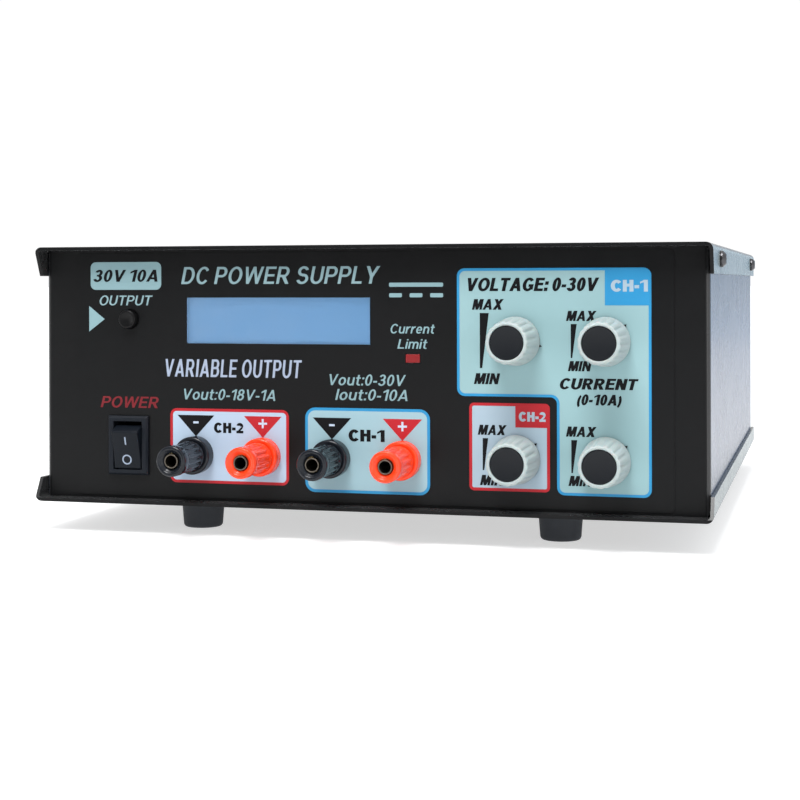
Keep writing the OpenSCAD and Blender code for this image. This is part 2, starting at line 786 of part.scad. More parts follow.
knob_on(voltage_at, voltage_angle);  // voltage_knob
knob_cap_on(voltage_at);  // voltage_knob_cap
pointer_on(voltage_at, voltage_angle);  // voltage_pointer
shaft_on(voltage_at);  // voltage_shaft
knob_on(current_coarse_at, current_coarse_angle);  // current_coarse_knob
knob_cap_on(current_coarse_at);  // current_coarse_knob_cap
pointer_on(current_coarse_at, current_coarse_angle);  // current_coarse_pointer
shaft_on(current_coarse_at);  // current_coarse_shaft
knob_on(current_fine_at, current_fine_angle);  // current_fine_knob
knob_cap_on(current_fine_at);  // current_fine_knob_cap
pointer_on(current_fine_at, current_fine_angle);  // current_fine_pointer
shaft_on(current_fine_at);  // current_fine_shaft
knob_on(ch2_voltage_at, ch2_voltage_angle);  // ch2_voltage_knob
knob_cap_on(ch2_voltage_at);  // ch2_voltage_knob_cap
pointer_on(ch2_voltage_at, ch2_voltage_angle);  // ch2_voltage_pointer
shaft_on(ch2_voltage_at);  // ch2_voltage_shaft
pot_bodies();
pot_nuts();

post_cap_on(post_x[0], "#24262a");  // ch2_negative_cap
post_cap_on(post_x[1], "#e8432a");  // ch2_positive_cap
post_cap_on(post_x[2], "#24262a");  // ch1_negative_cap
post_cap_on(post_x[3], "#e8432a");  // ch1_positive_cap
post_insert_on(post_x[0]);  // ch2_negative_insert
post_insert_on(post_x[1]);  // ch2_positive_insert
post_insert_on(post_x[2]);  // ch1_negative_insert
post_insert_on(post_x[3]);  // ch1_positive_insert
black_post_collars();
red_post_collars();
post_studs();

switch_housing();
switch_rocker();
switch_terminals();
output_button();
output_button_body();
limit_lamp();
display_window();
lcd_glass();
lcd_board();
control_board();

inlet_housing();
inlet_pins();
fuse_holder();
fuse_cap();
fan_frame();
fan_rotor();
fan_guard();
fan_screws();

transformer();
transformer_clamp();
heatsink();
power_semiconductors();
main_board();
filter_capacitors();
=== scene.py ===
"""The looks of the bench power supply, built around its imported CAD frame.

Lengths are in millimetres where a value's name or a comment says so, and in metres otherwise.
+X is right as seen from the front, the front faces -Y, and +Z is up.
"""

import json
import math

import bmesh
import bpy
from mathutils import Matrix, Vector
from mathutils.geometry import delaunay_2d_cdt

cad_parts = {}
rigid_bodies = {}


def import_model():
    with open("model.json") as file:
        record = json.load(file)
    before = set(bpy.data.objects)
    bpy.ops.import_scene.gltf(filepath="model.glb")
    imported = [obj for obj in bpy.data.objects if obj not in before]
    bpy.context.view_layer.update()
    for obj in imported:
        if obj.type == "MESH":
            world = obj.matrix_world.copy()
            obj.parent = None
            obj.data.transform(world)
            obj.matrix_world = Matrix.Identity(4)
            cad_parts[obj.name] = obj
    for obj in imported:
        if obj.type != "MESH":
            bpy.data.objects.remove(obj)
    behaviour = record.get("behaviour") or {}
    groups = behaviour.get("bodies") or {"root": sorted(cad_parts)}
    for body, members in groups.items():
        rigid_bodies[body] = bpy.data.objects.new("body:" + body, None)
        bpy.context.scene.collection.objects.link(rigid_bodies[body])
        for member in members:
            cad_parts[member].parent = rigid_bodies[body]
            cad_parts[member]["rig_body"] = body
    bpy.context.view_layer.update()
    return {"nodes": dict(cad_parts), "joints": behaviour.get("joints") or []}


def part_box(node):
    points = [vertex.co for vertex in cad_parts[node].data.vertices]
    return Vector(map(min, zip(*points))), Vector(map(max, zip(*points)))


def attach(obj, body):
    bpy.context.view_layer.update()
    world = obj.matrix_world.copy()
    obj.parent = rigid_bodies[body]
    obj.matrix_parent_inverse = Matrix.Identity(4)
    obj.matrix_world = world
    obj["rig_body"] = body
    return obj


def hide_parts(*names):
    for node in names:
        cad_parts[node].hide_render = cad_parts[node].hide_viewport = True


MM = 0.001
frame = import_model()
NODES = frame["nodes"]
SCENE = bpy.context.scene
SCENE.view_settings.view_transform = "Standard"


def middle(node):
    low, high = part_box(node)
    return (low + high) / 2


# The front face of the printed overlay, and the underside of the case without its feet.
FACE_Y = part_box("front_label")[0].y
CASE_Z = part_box("bottom_cover")[0].z

KNOBS = ("voltage", "current_coarse", "current_fine", "ch2_voltage")
POSTS = ("ch2_negative", "ch2_positive", "ch1_negative", "ch1_positive")


# ---- Camera, floor and light ----


def add_camera():
    data = bpy.data.cameras.new("camera")
    data.sensor_width = 36
    data.lens = 73.8
    data.shift_y = -0.1474
    data.clip_end = 100
    camera = bpy.data.objects.new("camera", data)
    turn, tilt = math.radians(14.84), math.radians(-0.15)
    camera.matrix_world = (
        Matrix.Translation((0.1577, -0.66775, 0.0890))
        @ Matrix.Rotation(turn, 4, "Z")
        @ Matrix.Rotation(math.pi / 2, 4, "X")
        @ Matrix.Rotation(tilt, 4, "Z")
    )
    SCENE.collection.objects.link(camera)
    SCENE.camera = camera


def add_area_light(name, place, aim, width, height, power, colour=(1, 1, 1)):
    data = bpy.data.lights.new(name, "AREA")
    data.shape = "RECTANGLE"
    data.size, data.size_y = width, height
    data.energy = power
    data.color = colour
    light = bpy.data.objects.new(name, data)
    light.location = place
    light.rotation_euler = (Vector(aim) - Vector(place)).to_track_quat("-Z", "Y").to_euler()
    light.visible_camera = False
    SCENE.collection.objects.link(light)


def add_card(name, centre, aim, width, height, material):
    """A flat card that the camera doesn't see, but that shows in the gloss of the object."""
    mesh = bpy.data.meshes.new(name)
    w, h = width / 2, height / 2
    mesh.from_pydata([(-w, -h, 0), (w, -h, 0), (w, h, 0), (-w, h, 0)], [], [(0, 1, 2, 3)])
    mesh.materials.append(material)
    card = bpy.data.objects.new(name, mesh)
    card.location = centre
    card.rotation_euler = (Vector(aim) - Vector(centre)).to_track_quat("Z", "Y").to_euler()
    card.visible_camera = False
    card.visible_shadow = False
    SCENE.collection.objects.link(card)


def add_studio():
    world = bpy.data.worlds.new("studio")
    world.use_nodes = True
    background = world.node_tree.nodes["Background"]
    background.inputs["Color"].default_value = (1, 1, 1, 1)
    background.inputs["Strength"].default_value = 1.02
    SCENE.world = world

    sun = bpy.data.lights.new("overhead", "SUN")
    sun.energy = 0.5
    sun.angle = math.radians(40)
    lamp = bpy.data.objects.new("overhead", sun)
    lamp.rotation_euler = (math.radians(20), math.radians(-10), 0)
    SCENE.collection.objects.link(lamp)

    add_area_light("key", (0.0, -0.72, 1.12), (0.02, -0.1, 0.05), 0.5, 0.5, 14)
    add_area_light("fill", (1.15, -1.1, 0.35), (0, -0.1, 0.05), 0.9, 0.7, 2.4, (0.96, 0.98, 1.0))
    add_area_light("low_fill", (-1.1, -0.8, 0.25), (-0.05, -0.12, 0.04), 0.5, 0.4, 1.3)

    # A dark card behind the camera keeps the front black, and a blue one colours the right side
    add_card("flag", (-0.5, -1.45, 0.8), (-0.3, -0.1, 0.8), 2.4, 1.6, FLAG)
    add_card("blue_card", (0.85, 0.95, 0.32), (0.1, 0.0, 0.2), 1.5, 0.62, BLUE_CARD)

    bpy.ops.mesh.primitive_plane_add(size=60)
    floor = bpy.context.object
    floor.name = "floor"
    floor.data.materials.append(FLOOR)


# ---- Materials ----


class Nodes:
    """Adds nodes to a material and joins them."""

    def __init__(self, name):
        self.material = bpy.data.materials.new(name)
        self.material.use_nodes = True
        self.tree = self.material.node_tree
        self.shader = self.tree.nodes["Principled BSDF"]
        self.place = self.add("ShaderNodeTexCoord").outputs["Object"]

    def add(self, kind, **settings):
        node = self.tree.nodes.new(kind)
        for key, value in settings.items():
            setattr(node, key, value)
        return node

    def join(self, source, target):
        self.tree.links.new(source, target)

    def stretched(self, scale):
        mapping = self.add("ShaderNodeMapping")
        mapping.inputs["Scale"].default_value = scale
        self.join(self.place, mapping.inputs["Vector"])
        return mapping.outputs["Vector"]

    def noise(self, scale, detail=3, roughness=0.5, stretch=None):
        node = self.add("ShaderNodeTexNoise")
        node.inputs["Scale"].default_value = scale
        node.inputs["Detail"].default_value = detail
        node.inputs["Roughness"].default_value = roughness
        self.join(self.stretched(stretch) if stretch else self.place, node.inputs["Vector"])
        return node.outputs["Fac"]

    def between(self, factor, low, high, start=0.0, end=1.0):
        node = self.add("ShaderNodeMapRange")
        for key, value in (("From Min", start), ("From Max", end), ("To Min", low), ("To Max", high)):
            node.inputs[key].default_value = value
        self.join(factor, node.inputs["Value"])
        return node.outputs["Result"]

    def blend(self, factor, first, second):
        node = self.add("ShaderNodeMix", data_type="RGBA")
        self.join(factor, node.inputs["Factor"])
        for socket, colour in ((node.inputs[6], first), (node.inputs[7], second)):
            if isinstance(colour, bpy.types.NodeSocket):
                self.join(colour, socket)
            else:
                socket.default_value = (*colour, 1)
        return node.outputs[2]

    def bump(self, height, strength, distance, below=None):
        node = self.add("ShaderNodeBump")
        node.inputs["Strength"].default_value = strength
        node.inputs["Distance"].default_value = distance
        self.join(height, node.inputs["Height"])
        if below:
            self.join(below, node.inputs["Normal"])
        self.join(node.outputs["Normal"], self.shader.inputs["Normal"])
        return node.outputs["Normal"]

    def set(self, **values):
        for key, value in values.items():
            socket = self.shader.inputs[key.replace("_", " ")]
            socket.default_value = (*value, 1) if socket.type == "RGBA" else value


def shade(colour, factor):
    return tuple(min(1.0, c * factor) for c in colour)


def moulded(name, colour, rough, spread, tone, grain, depth, gloss=0.5, ripple=0.12, **more):
    """Plastic, paint or ink: faint mottling, uneven roughness, a fine grain and a slower ripple."""
    n = Nodes(name)
    cloud = n.noise(45, 4, 0.6)
    n.join(n.blend(cloud, shade(colour, 1 - tone), shade(colour, 1 + tone)), n.shader.inputs["Base Color"])
    smear = n.noise(90, 5, 0.65)
    n.join(n.between(smear, rough - spread, rough + spread, 0.3, 0.7), n.shader.inputs["Roughness"])
    slow = n.bump(n.noise(260, 2), ripple, 0.00006)
    n.bump(n.noise(grain, 2), 1.0, depth * MM, slow)
    n.set(Specular_IOR_Level=gloss, **more)
    return n.material


def ink(name, colour, gloss=0.3):
    return moulded("ink_" + name, colour, 0.45, 0.05, 0.02, 3000, 0.004, gloss)


def metal(name, colour, rough, spread, lines=(600, 600, 60)):
    """Metal with fine machining or rolling lines."""
    n = Nodes(name)
    brushed = n.noise(3, 6, 0.7, lines)
    n.join(n.blend(brushed, shade(colour, 0.92), shade(colour, 1.08)), n.shader.inputs["Base Color"])
    n.join(n.between(brushed, rough - spread, rough + spread, 0.3, 0.7), n.shader.inputs["Roughness"])
    n.bump(brushed, 0.5, 0.004 * MM)
    n.set(Metallic=1.0)
    return n.material


def powder_coat(name, sheen, tint):
    """Satin black powder coat: fine orange peel, slightly cloudy gloss; its tinted sheen is painted
    reflection, a coloured veil at grazing angles.
    """
    n = Nodes(name)
    cloud = n.noise(18, 4, 0.6)
    n.join(n.blend(cloud, (0.024, 0.0245, 0.0254), (0.030, 0.0305, 0.0314)), n.shader.inputs["Base Color"])
    smear = n.noise(60, 6, 0.62)
    n.join(n.between(smear, 0.255, 0.285, 0.3, 0.7), n.shader.inputs["Roughness"])
    peel = n.bump(n.noise(800, 2, 0.4), 0.08, 0.00003)
    n.bump(n.noise(3200, 2), 0.12, 0.000006, peel)
    n.set(Specular_IOR_Level=0.36, Sheen_Weight=sheen, Sheen_Roughness=0.22, Sheen_Tint=tint)
    return n.material


def backlit(name, left, right, x_left, x_right, glow):
    """The display's even blue, a little warmer on the left."""
    n = Nodes(name)
    split = n.add("ShaderNodeSeparateXYZ")
    n.join(n.place, split.inputs["Vector"])
    across = n.between(split.outputs["X"], 0, 1, x_left, x_right)
    colour = n.blend(across, left, right)
    mottled = n.blend(n.noise(120, 3), colour, right)
    n.join(mottled, n.shader.inputs["Base Color"])
    n.join(mottled, n.shader.inputs["Emission Color"])
    n.bump(n.noise(900, 2), 0.1, 0.00002)
    n.set(Emission_Strength=glow, Roughness=0.25)
    return n.material


def windings():
    """Yellow tape wound round the toroid over the copper."""
    n = Nodes("tape_windings")
    wave = n.add("ShaderNodeTexWave", wave_type="RINGS", rings_direction="Z")
    wave.inputs["Scale"].default_value = 30
    wave.inputs["Distortion"].default_value = 4
    n.join(n.place, wave.inputs["Vector"])
    turns = wave.outputs["Fac"]
    n.join(n.blend(turns, (0.50, 0.28, 0.05), (0.68, 0.42, 0.09)), n.shader.inputs["Base Color"])
    n.join(n.between(turns, 0.35, 0.5), n.shader.inputs["Roughness"])
    n.bump(turns, 0.6, 0.0003)
    return n.material


def circuit_board():
    """Green solder mask with the faint relief of tracks under it."""
    n = Nodes("circuit_board")
    cells = n.add("ShaderNodeTexVoronoi", distance="MANHATTAN")
    cells.inputs["Scale"].default_value = 220
    n.join(n.place, cells.inputs["Vector"])
    track = n.between(cells.outputs["Distance"], 0, 1, 0.35, 0.42)
    n.join(n.blend(track, (0.012, 0.085, 0.04), (0.02, 0.14, 0.065)), n.shader.inputs["Base Color"])
    n.join(n.between(track, 0.28, 0.4), n.shader.inputs["Roughness"])
    n.bump(track, 0.4, 0.00005)
    return n.material


def clear_acrylic():
    n = Nodes("clear_acrylic")
    n.join(n.between(n.noise(60, 4), 0.01, 0.035), n.shader.inputs["Roughness"])
    n.set(Base_Color=(0.93, 0.97, 1.0), Transmission_Weight=1.0, IOR=1.46)
    return n.material


FLOOR = moulded("floor_paper", (0.60, 0.604, 0.608), 0.75, 0.03, 0.004, 900, 0.002, 0.1,
                Emission_Color=(1.0, 1.0, 1.0), Emission_Strength=0.58)
FLAG = moulded("flag_cloth", (0.02, 0.02, 0.022), 0.9, 0.02, 0.05, 300, 0.01, 0.0)
BLUE_CARD = moulded("blue_card_paper", (0.01, 0.01, 0.01), 0.9, 0.02, 0.05, 300, 0.01, 0.0,
                    Emission_Color=(0.52, 0.74, 1.0), Emission_Strength=0.98)

# The shell's blue-tinted sheen is painted reflection: it makes the side walls and the rear look bluish at
# grazing angles.
SHELL_BLUE_SHEEN_COAT = powder_coat("powder_coat_shell_painted_blue_sheen", 0.2, (0.50, 0.64, 1.0))
COVER_COAT = powder_coat("powder_coat_covers", 0.05, (0.9, 0.95, 1.0))
# Painted sheen: a copy of the coat with more aqua-tinted sheen, laid on the covers' side faces so the flanges
# look lighter.
FLANGE_PAINTED_SHEEN_COAT = powder_coat("powder_coat_flanges_painted_sheen", 0.2, (0.72, 0.95, 1.0))
OVERLAY = moulded("overlay_film", (0.0062, 0.0065, 0.0070), 0.34, 0.04, 0.08, 3400, 0.004, 0.15)
# Painted shade: a darker, less glossy copy of the black coat, laid on faces that face the front so they read
# darker than the same coat elsewhere.
FRONT_FACE_SHADE = moulded("front_face_painted_shade", (0.0064, 0.0066, 0.0071), 0.38, 0.04, 0.12, 3000, 0.006, 0.15)
RUBBER = moulded("foot_rubber", (0.034, 0.038, 0.045), 0.72, 0.08, 0.12, 1800, 0.05, 0.35)
DARK_STEEL = metal("black_oxide_steel", (0.09, 0.09, 0.095), 0.32, 0.1)
KNOB_WHITE = moulded("knob_white", (0.378, 0.438, 0.438), 0.42, 0.05, 0.025, 2200, 0.012, 0.22,
                     Subsurface_Weight=0.08, Subsurface_Scale=0.0015)
KNOB_BLACK = moulded("knob_cap_black", (0.0052, 0.0066, 0.0092), 0.42, 0.03, 0.1, 3400, 0.003, 0.26, 0.02)
POST_BLACK = moulded("post_black", (0.0088, 0.0108, 0.015), 0.16, 0.04, 0.12, 2600, 0.004, 0.22,
                     Coat_Weight=0.12, Coat_Roughness=0.05)
# The red plastic's faint emission is a painted glow; the post is no lamp.
POST_RED = moulded("post_red", (0.86, 0.050, 0.010), 0.2, 0.04, 0.05, 2600, 0.004, 0.34,
                   Coat_Weight=0.14, Coat_Roughness=0.05,
                   Subsurface_Weight=0.25, Subsurface_Radius=(0.004, 0.0012, 0.0006), Subsurface_Scale=0.5,
                   Emission_Color=(1.0, 0.06, 0.015), Emission_Strength=0.10)
NICKEL = metal("nickel_plate", (0.15, 0.132, 0.108), 0.38, 0.06)
BRASS = metal("brass", (0.72, 0.52, 0.22), 0.26, 0.08)
STEEL = metal("plated_steel", (0.60, 0.61, 0.62), 0.3, 0.08)
ALUMINIUM = metal("anodised_aluminium", (0.50, 0.51, 0.53), 0.36, 0.08, (60, 900, 900))
CHROME = metal("bright_wire", (0.72, 0.73, 0.74), 0.12, 0.04)
SWITCH_BLACK = moulded("switch_black", (0.0055, 0.0078, 0.0118), 0.36, 0.05, 0.1, 3000, 0.006, 0.14)
# The bezel is a lighter copy of the switch black: partly the bezel's own lighter tone, partly painted light
# that lifts the shade in the slot above the rocker.
BEZEL_BLACK = moulded("bezel_black", (0.0092, 0.0118, 0.0165), 0.4, 0.05, 0.1, 3000, 0.006, 0.14)
BUTTON_BLACK = moulded("button_black", (0.0050, 0.0050, 0.0054), 0.36, 0.04, 0.1, 3000, 0.005, 0.16)
PART_BLACK = moulded("part_black", (0.020, 0.020, 0.023), 0.45, 0.08, 0.1, 1600, 0.03)
LAMP_RED = moulded("lamp_red", (0.215, 0.010, 0.012), 0.38, 0.05, 0.06, 1400, 0.006, 0.35)
SLEEVE = moulded("capacitor_sleeve", (0.025, 0.032, 0.06), 0.25, 0.05, 0.1, 800, 0.02)
CLEAR = clear_acrylic()
BOARD = circuit_board()
TAPE = windings()

# Inks. The two lit ones are for the terminal boxes, which stand lower and get less light.
INK_AQUA = ink("aqua", (0.215, 0.345, 0.375))
INK_TITLE = ink("title", (0.225, 0.345, 0.375))
INK_MARK = ink("mark", (0.30, 0.365, 0.47))
INK_LAVENDER = ink("lavender", (0.31, 0.37, 0.48))
INK_DULL_RED = ink("dull_red", (0.165, 0.0085, 0.014))
INK_BLACK = ink("black", (0.0055, 0.0055, 0.0068), 0.12)
INK_RED = ink("red", (0.42, 0.012, 0.020))
INK_BLUE = ink("blue", (0.0225, 0.25, 0.50))
INK_PALE = ink("pale_aqua", (0.266, 0.422, 0.445))
INK_PALE_BLUE = ink("pale_blue", (0.347, 0.447, 0.525))
INK_PALE_LIT = ink("pale_aqua_lit", (0.297, 0.466, 0.525))
INK_PALE_BLUE_LIT = ink("pale_blue_lit", (0.405, 0.52, 0.655))
INK_WHITE = ink("white", (0.50, 0.60, 0.74))

CAD_LOOKS = {
    COVER_COAT: ("top_cover", "bottom_cover"),
    SHELL_BLUE_SHEEN_COAT: ("front_shell", "rear_panel"),
    OVERLAY: ("front_label",),
    RUBBER: ("feet",),
    DARK_STEEL: ("case_screws", "fan_screws"),
    STEEL: ("pot_bodies", "pot_nuts", "inlet_pins", "transformer_clamp"),
    ALUMINIUM: ("heatsink", *(k + "_shaft" for k in KNOBS)),
    BRASS: ("switch_terminals", *(p + "_insert" for p in POSTS)),
    NICKEL: ("post_studs",),
    KNOB_BLACK: tuple(k + "_pointer" for k in KNOBS),
    SWITCH_BLACK: ("switch_housing",),
    PART_BLACK: (
        "output_button_body", "inlet_housing", "fuse_holder", "fuse_cap", "fan_frame", "power_semiconductors",
    ),
    LAMP_RED: ("limit_lamp",),
    CLEAR: ("display_window",),
    BOARD: ("lcd_board", "control_board", "main_board"),
    TAPE: ("transformer",),
    SLEEVE: ("filter_capacitors",),
}


# ---- Mesh helpers ----


def body_of(node):
    return NODES[node]["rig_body"]


def joint_of(node):
    return next(j for j in frame["joints"] if j["child"] == body_of(node))


def facing_front(node):
    """Centre x and z, back, front and radius of a piece that points out of the panel, in millimetres."""
    low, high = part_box(node)
    x, z = (low.x + high.x) / 2 / MM, (low.z + high.z) / 2 / MM
    return x, z, -high.y / MM, -low.y / MM, (high.x - low.x) / 2 / MM


def make_object(name, mesh, material, body, replaces=()):
    piece = bpy.data.objects.new(name, mesh)
    SCENE.collection.objects.link(piece)
    mesh.materials.clear()
    mesh.materials.append(material)
    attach(piece, body)
    if replaces:
        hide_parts(*replaces)
    return piece


def stand_in(node, mesh, material, name=None):
    """A piece that takes a CAD node's place, on its body, with the node hidden."""
    return make_object(name or node + "_look", mesh, material, body_of(node), (node,))


def mesh_from(bm, name, angle=35):
    """A mesh with smooth shading, where edges sharper than the angle in degrees stay sharp."""
    bmesh.ops.recalc_face_normals(bm, faces=bm.faces)
    mesh = bpy.data.meshes.new(name)
    bm.to_mesh(mesh)
    bm.free()
    mesh.shade_smooth()
    mesh.set_sharp_from_angle(angle=math.radians(angle))
    return mesh


def refined(node, material, bevel_mm, segments):
    """A CAD node's own shape with its sharp edges rounded."""
    bm = bmesh.new()
    bm.from_mesh(NODES[node].data)
    bmesh.ops.remove_doubles(bm, verts=bm.verts, dist=1e-6)
    bmesh.ops.dissolve_limit(bm, angle_limit=math.radians(1), verts=bm.verts, edges=bm.edges)
    mesh = bpy.data.meshes.new(node + "_look")
    bm.to_mesh(mesh)
    bm.free()
    mesh.shade_smooth()
    piece = stand_in(node, mesh, material)
    rounding = piece.modifiers.new("rounding", "BEVEL")
    rounding.width = bevel_mm * MM
    rounding.segments = segments
    rounding.limit_method = "ANGLE"
    rounding.angle_limit = math.radians(28)
    rounding.use_clamp_overlap = True
    piece.modifiers.new("even_shading", "WEIGHTED_NORMAL").keep_sharp = True
    apply_modifiers(piece)
    return piece


def apply_modifiers(piece):
    graph = bpy.context.evaluated_depsgraph_get()
    made = bpy.data.meshes.new_from_object(piece.evaluated_get(graph))
    piece.modifiers.clear()
    piece.data = made


def turned(bm, outline, steps, centre=(0.0, 0.0), wave=None):
    """Turns an outline of (radius, out) round the line through centre, out from the panel.

    Radii and distances are in millimetres. wave(angle, radius, out) gives how much a point's radius grows.
    A point on the axis closes the shape there.
    """
    rings = []
    for radius, out in outline:
        if radius == 0:
            rings.append([bm.verts.new((centre[0] * MM, -out * MM, centre[1] * MM))])
            continue
        ring = []
        for angle in full_turn(steps):
            r = radius + (wave(angle, radius, out) if wave else 0)
            x, z = centre[0] + r * math.cos(angle), centre[1] + r * math.sin(angle)
            ring.append(bm.verts.new((x * MM, -out * MM, z * MM)))
        rings.append(ring)
    for first, second in zip(rings, rings[1:]):
        for step in range(steps):
            after = (step + 1) % steps
            if len(first) == 1 and len(second) == 1:
                continue
            if len(first) == 1:
                bm.faces.new((first[0], second[step], second[after]))
            elif len(second) == 1:
                bm.faces.new((first[step], second[0], first[after]))
            else:
                bm.faces.new((first[step], second[step], second[after], first[after]))


def arc(centre, radius, start, end, steps):
    """Points on an arc, from start to end in degrees."""
    angles = [math.radians(start + (end - start) * i / steps) for i in range(steps + 1)]
    return [(centre[0] + radius * math.cos(a), centre[1] + radius * math.sin(a)) for a in angles]


def join_rows(bm, first, second):
    """Faces between two closed rows of as many points."""
    for i in range(len(first)):
        j = (i + 1) % len(first)
        bm.faces.new((first[i], first[j], second[j], second[i]))


def close_between(bm, first, second):
    """A closed shape with a flat face on each of two rows."""
    bm.faces.new(first)
    bm.faces.new(second[::-1])
    join_rows(bm, second, first)


def full_turn(steps):
    return [2 * math.pi * k / steps for k in range(steps)]


def circle_points(cx, y, cz, radius, steps):
    """Points round a line along Y, in metres."""
    return [Vector((cx + radius * math.cos(a), y, cz + radius * math.sin(a))) for a in full_turn(steps)]


def soft_step(x, low, high):
    t = max(0.0, min(1.0, (x - low) / (high - low)))
    return t * t * (3 - 2 * t)


# ---- Print on the panel: thin layers of ink on the overlay ----

INK = 0.03  # mm, thickness of each layer of ink


def panel_point(x, z, layer):
    return Vector((x * MM, FACE_Y - layer * INK * MM, CASE_Z + z * MM))


def rounded_box(x0, z0, x1, z1, radius, steps=6):
    corners = (
        ((x1, z0), (-1, 1), -90),
        ((x1, z1), (-1, -1), 0),
        ((x0, z1), (1, -1), 90),
        ((x0, z0), (1, 1), 180),
    )
    return [
        point
        for (cx, cz), (sx, sz), start in corners
        for point in arc((cx + sx * radius, cz + sz * radius), radius, start, start + 90, steps)
    ]


def print_shape(name, outline, material, layer=1):
    """A flat shape in ink: the outline is in panel millimetres, x and height above the case's underside."""
    bm = bmesh.new()
    low, high = [[bm.verts.new(panel_point(x, z, level)) for x, z in outline] for level in (layer - 1, layer)]
    join_rows(bm, low, high)
    bm.faces.new(high)
    return make_object("print_" + name, mesh_from(bm, name), material, "case")


# ---- Lettering: a plain grotesque drawn from bars and bands, one capital high ----


def slab(x0, y0, x1, y1):
    return [(x0, y0), (x1, y0), (x1, y1), (x0, y1)]


def lean(low, high, width, y0=0.0, y1=1.0):
    """A slanting stroke, level at both ends, from x = low to x = high."""
    return [(low, y0), (low + width, y0), (high + width, y1), (high, y1)]


def band(cx, cy, rx, ry, wide, tall, start=0, end=360):
    """Part of an elliptical ring, as quadrilaterals, from start to end in degrees."""
    steps = max(4, round((end - start) / 9))
    rim = []
    for i in range(steps + 1):
        t = math.radians(start + (end - start) * i / steps)
        c, s = math.cos(t), math.sin(t)
        rim.append(((cx + (rx - wide) * c, cy + (ry - tall) * s), (cx + rx * c, cy + ry * s)))
    return [[p[0], p[1], q[1], q[0]] for p, q in zip(rim, rim[1:])]


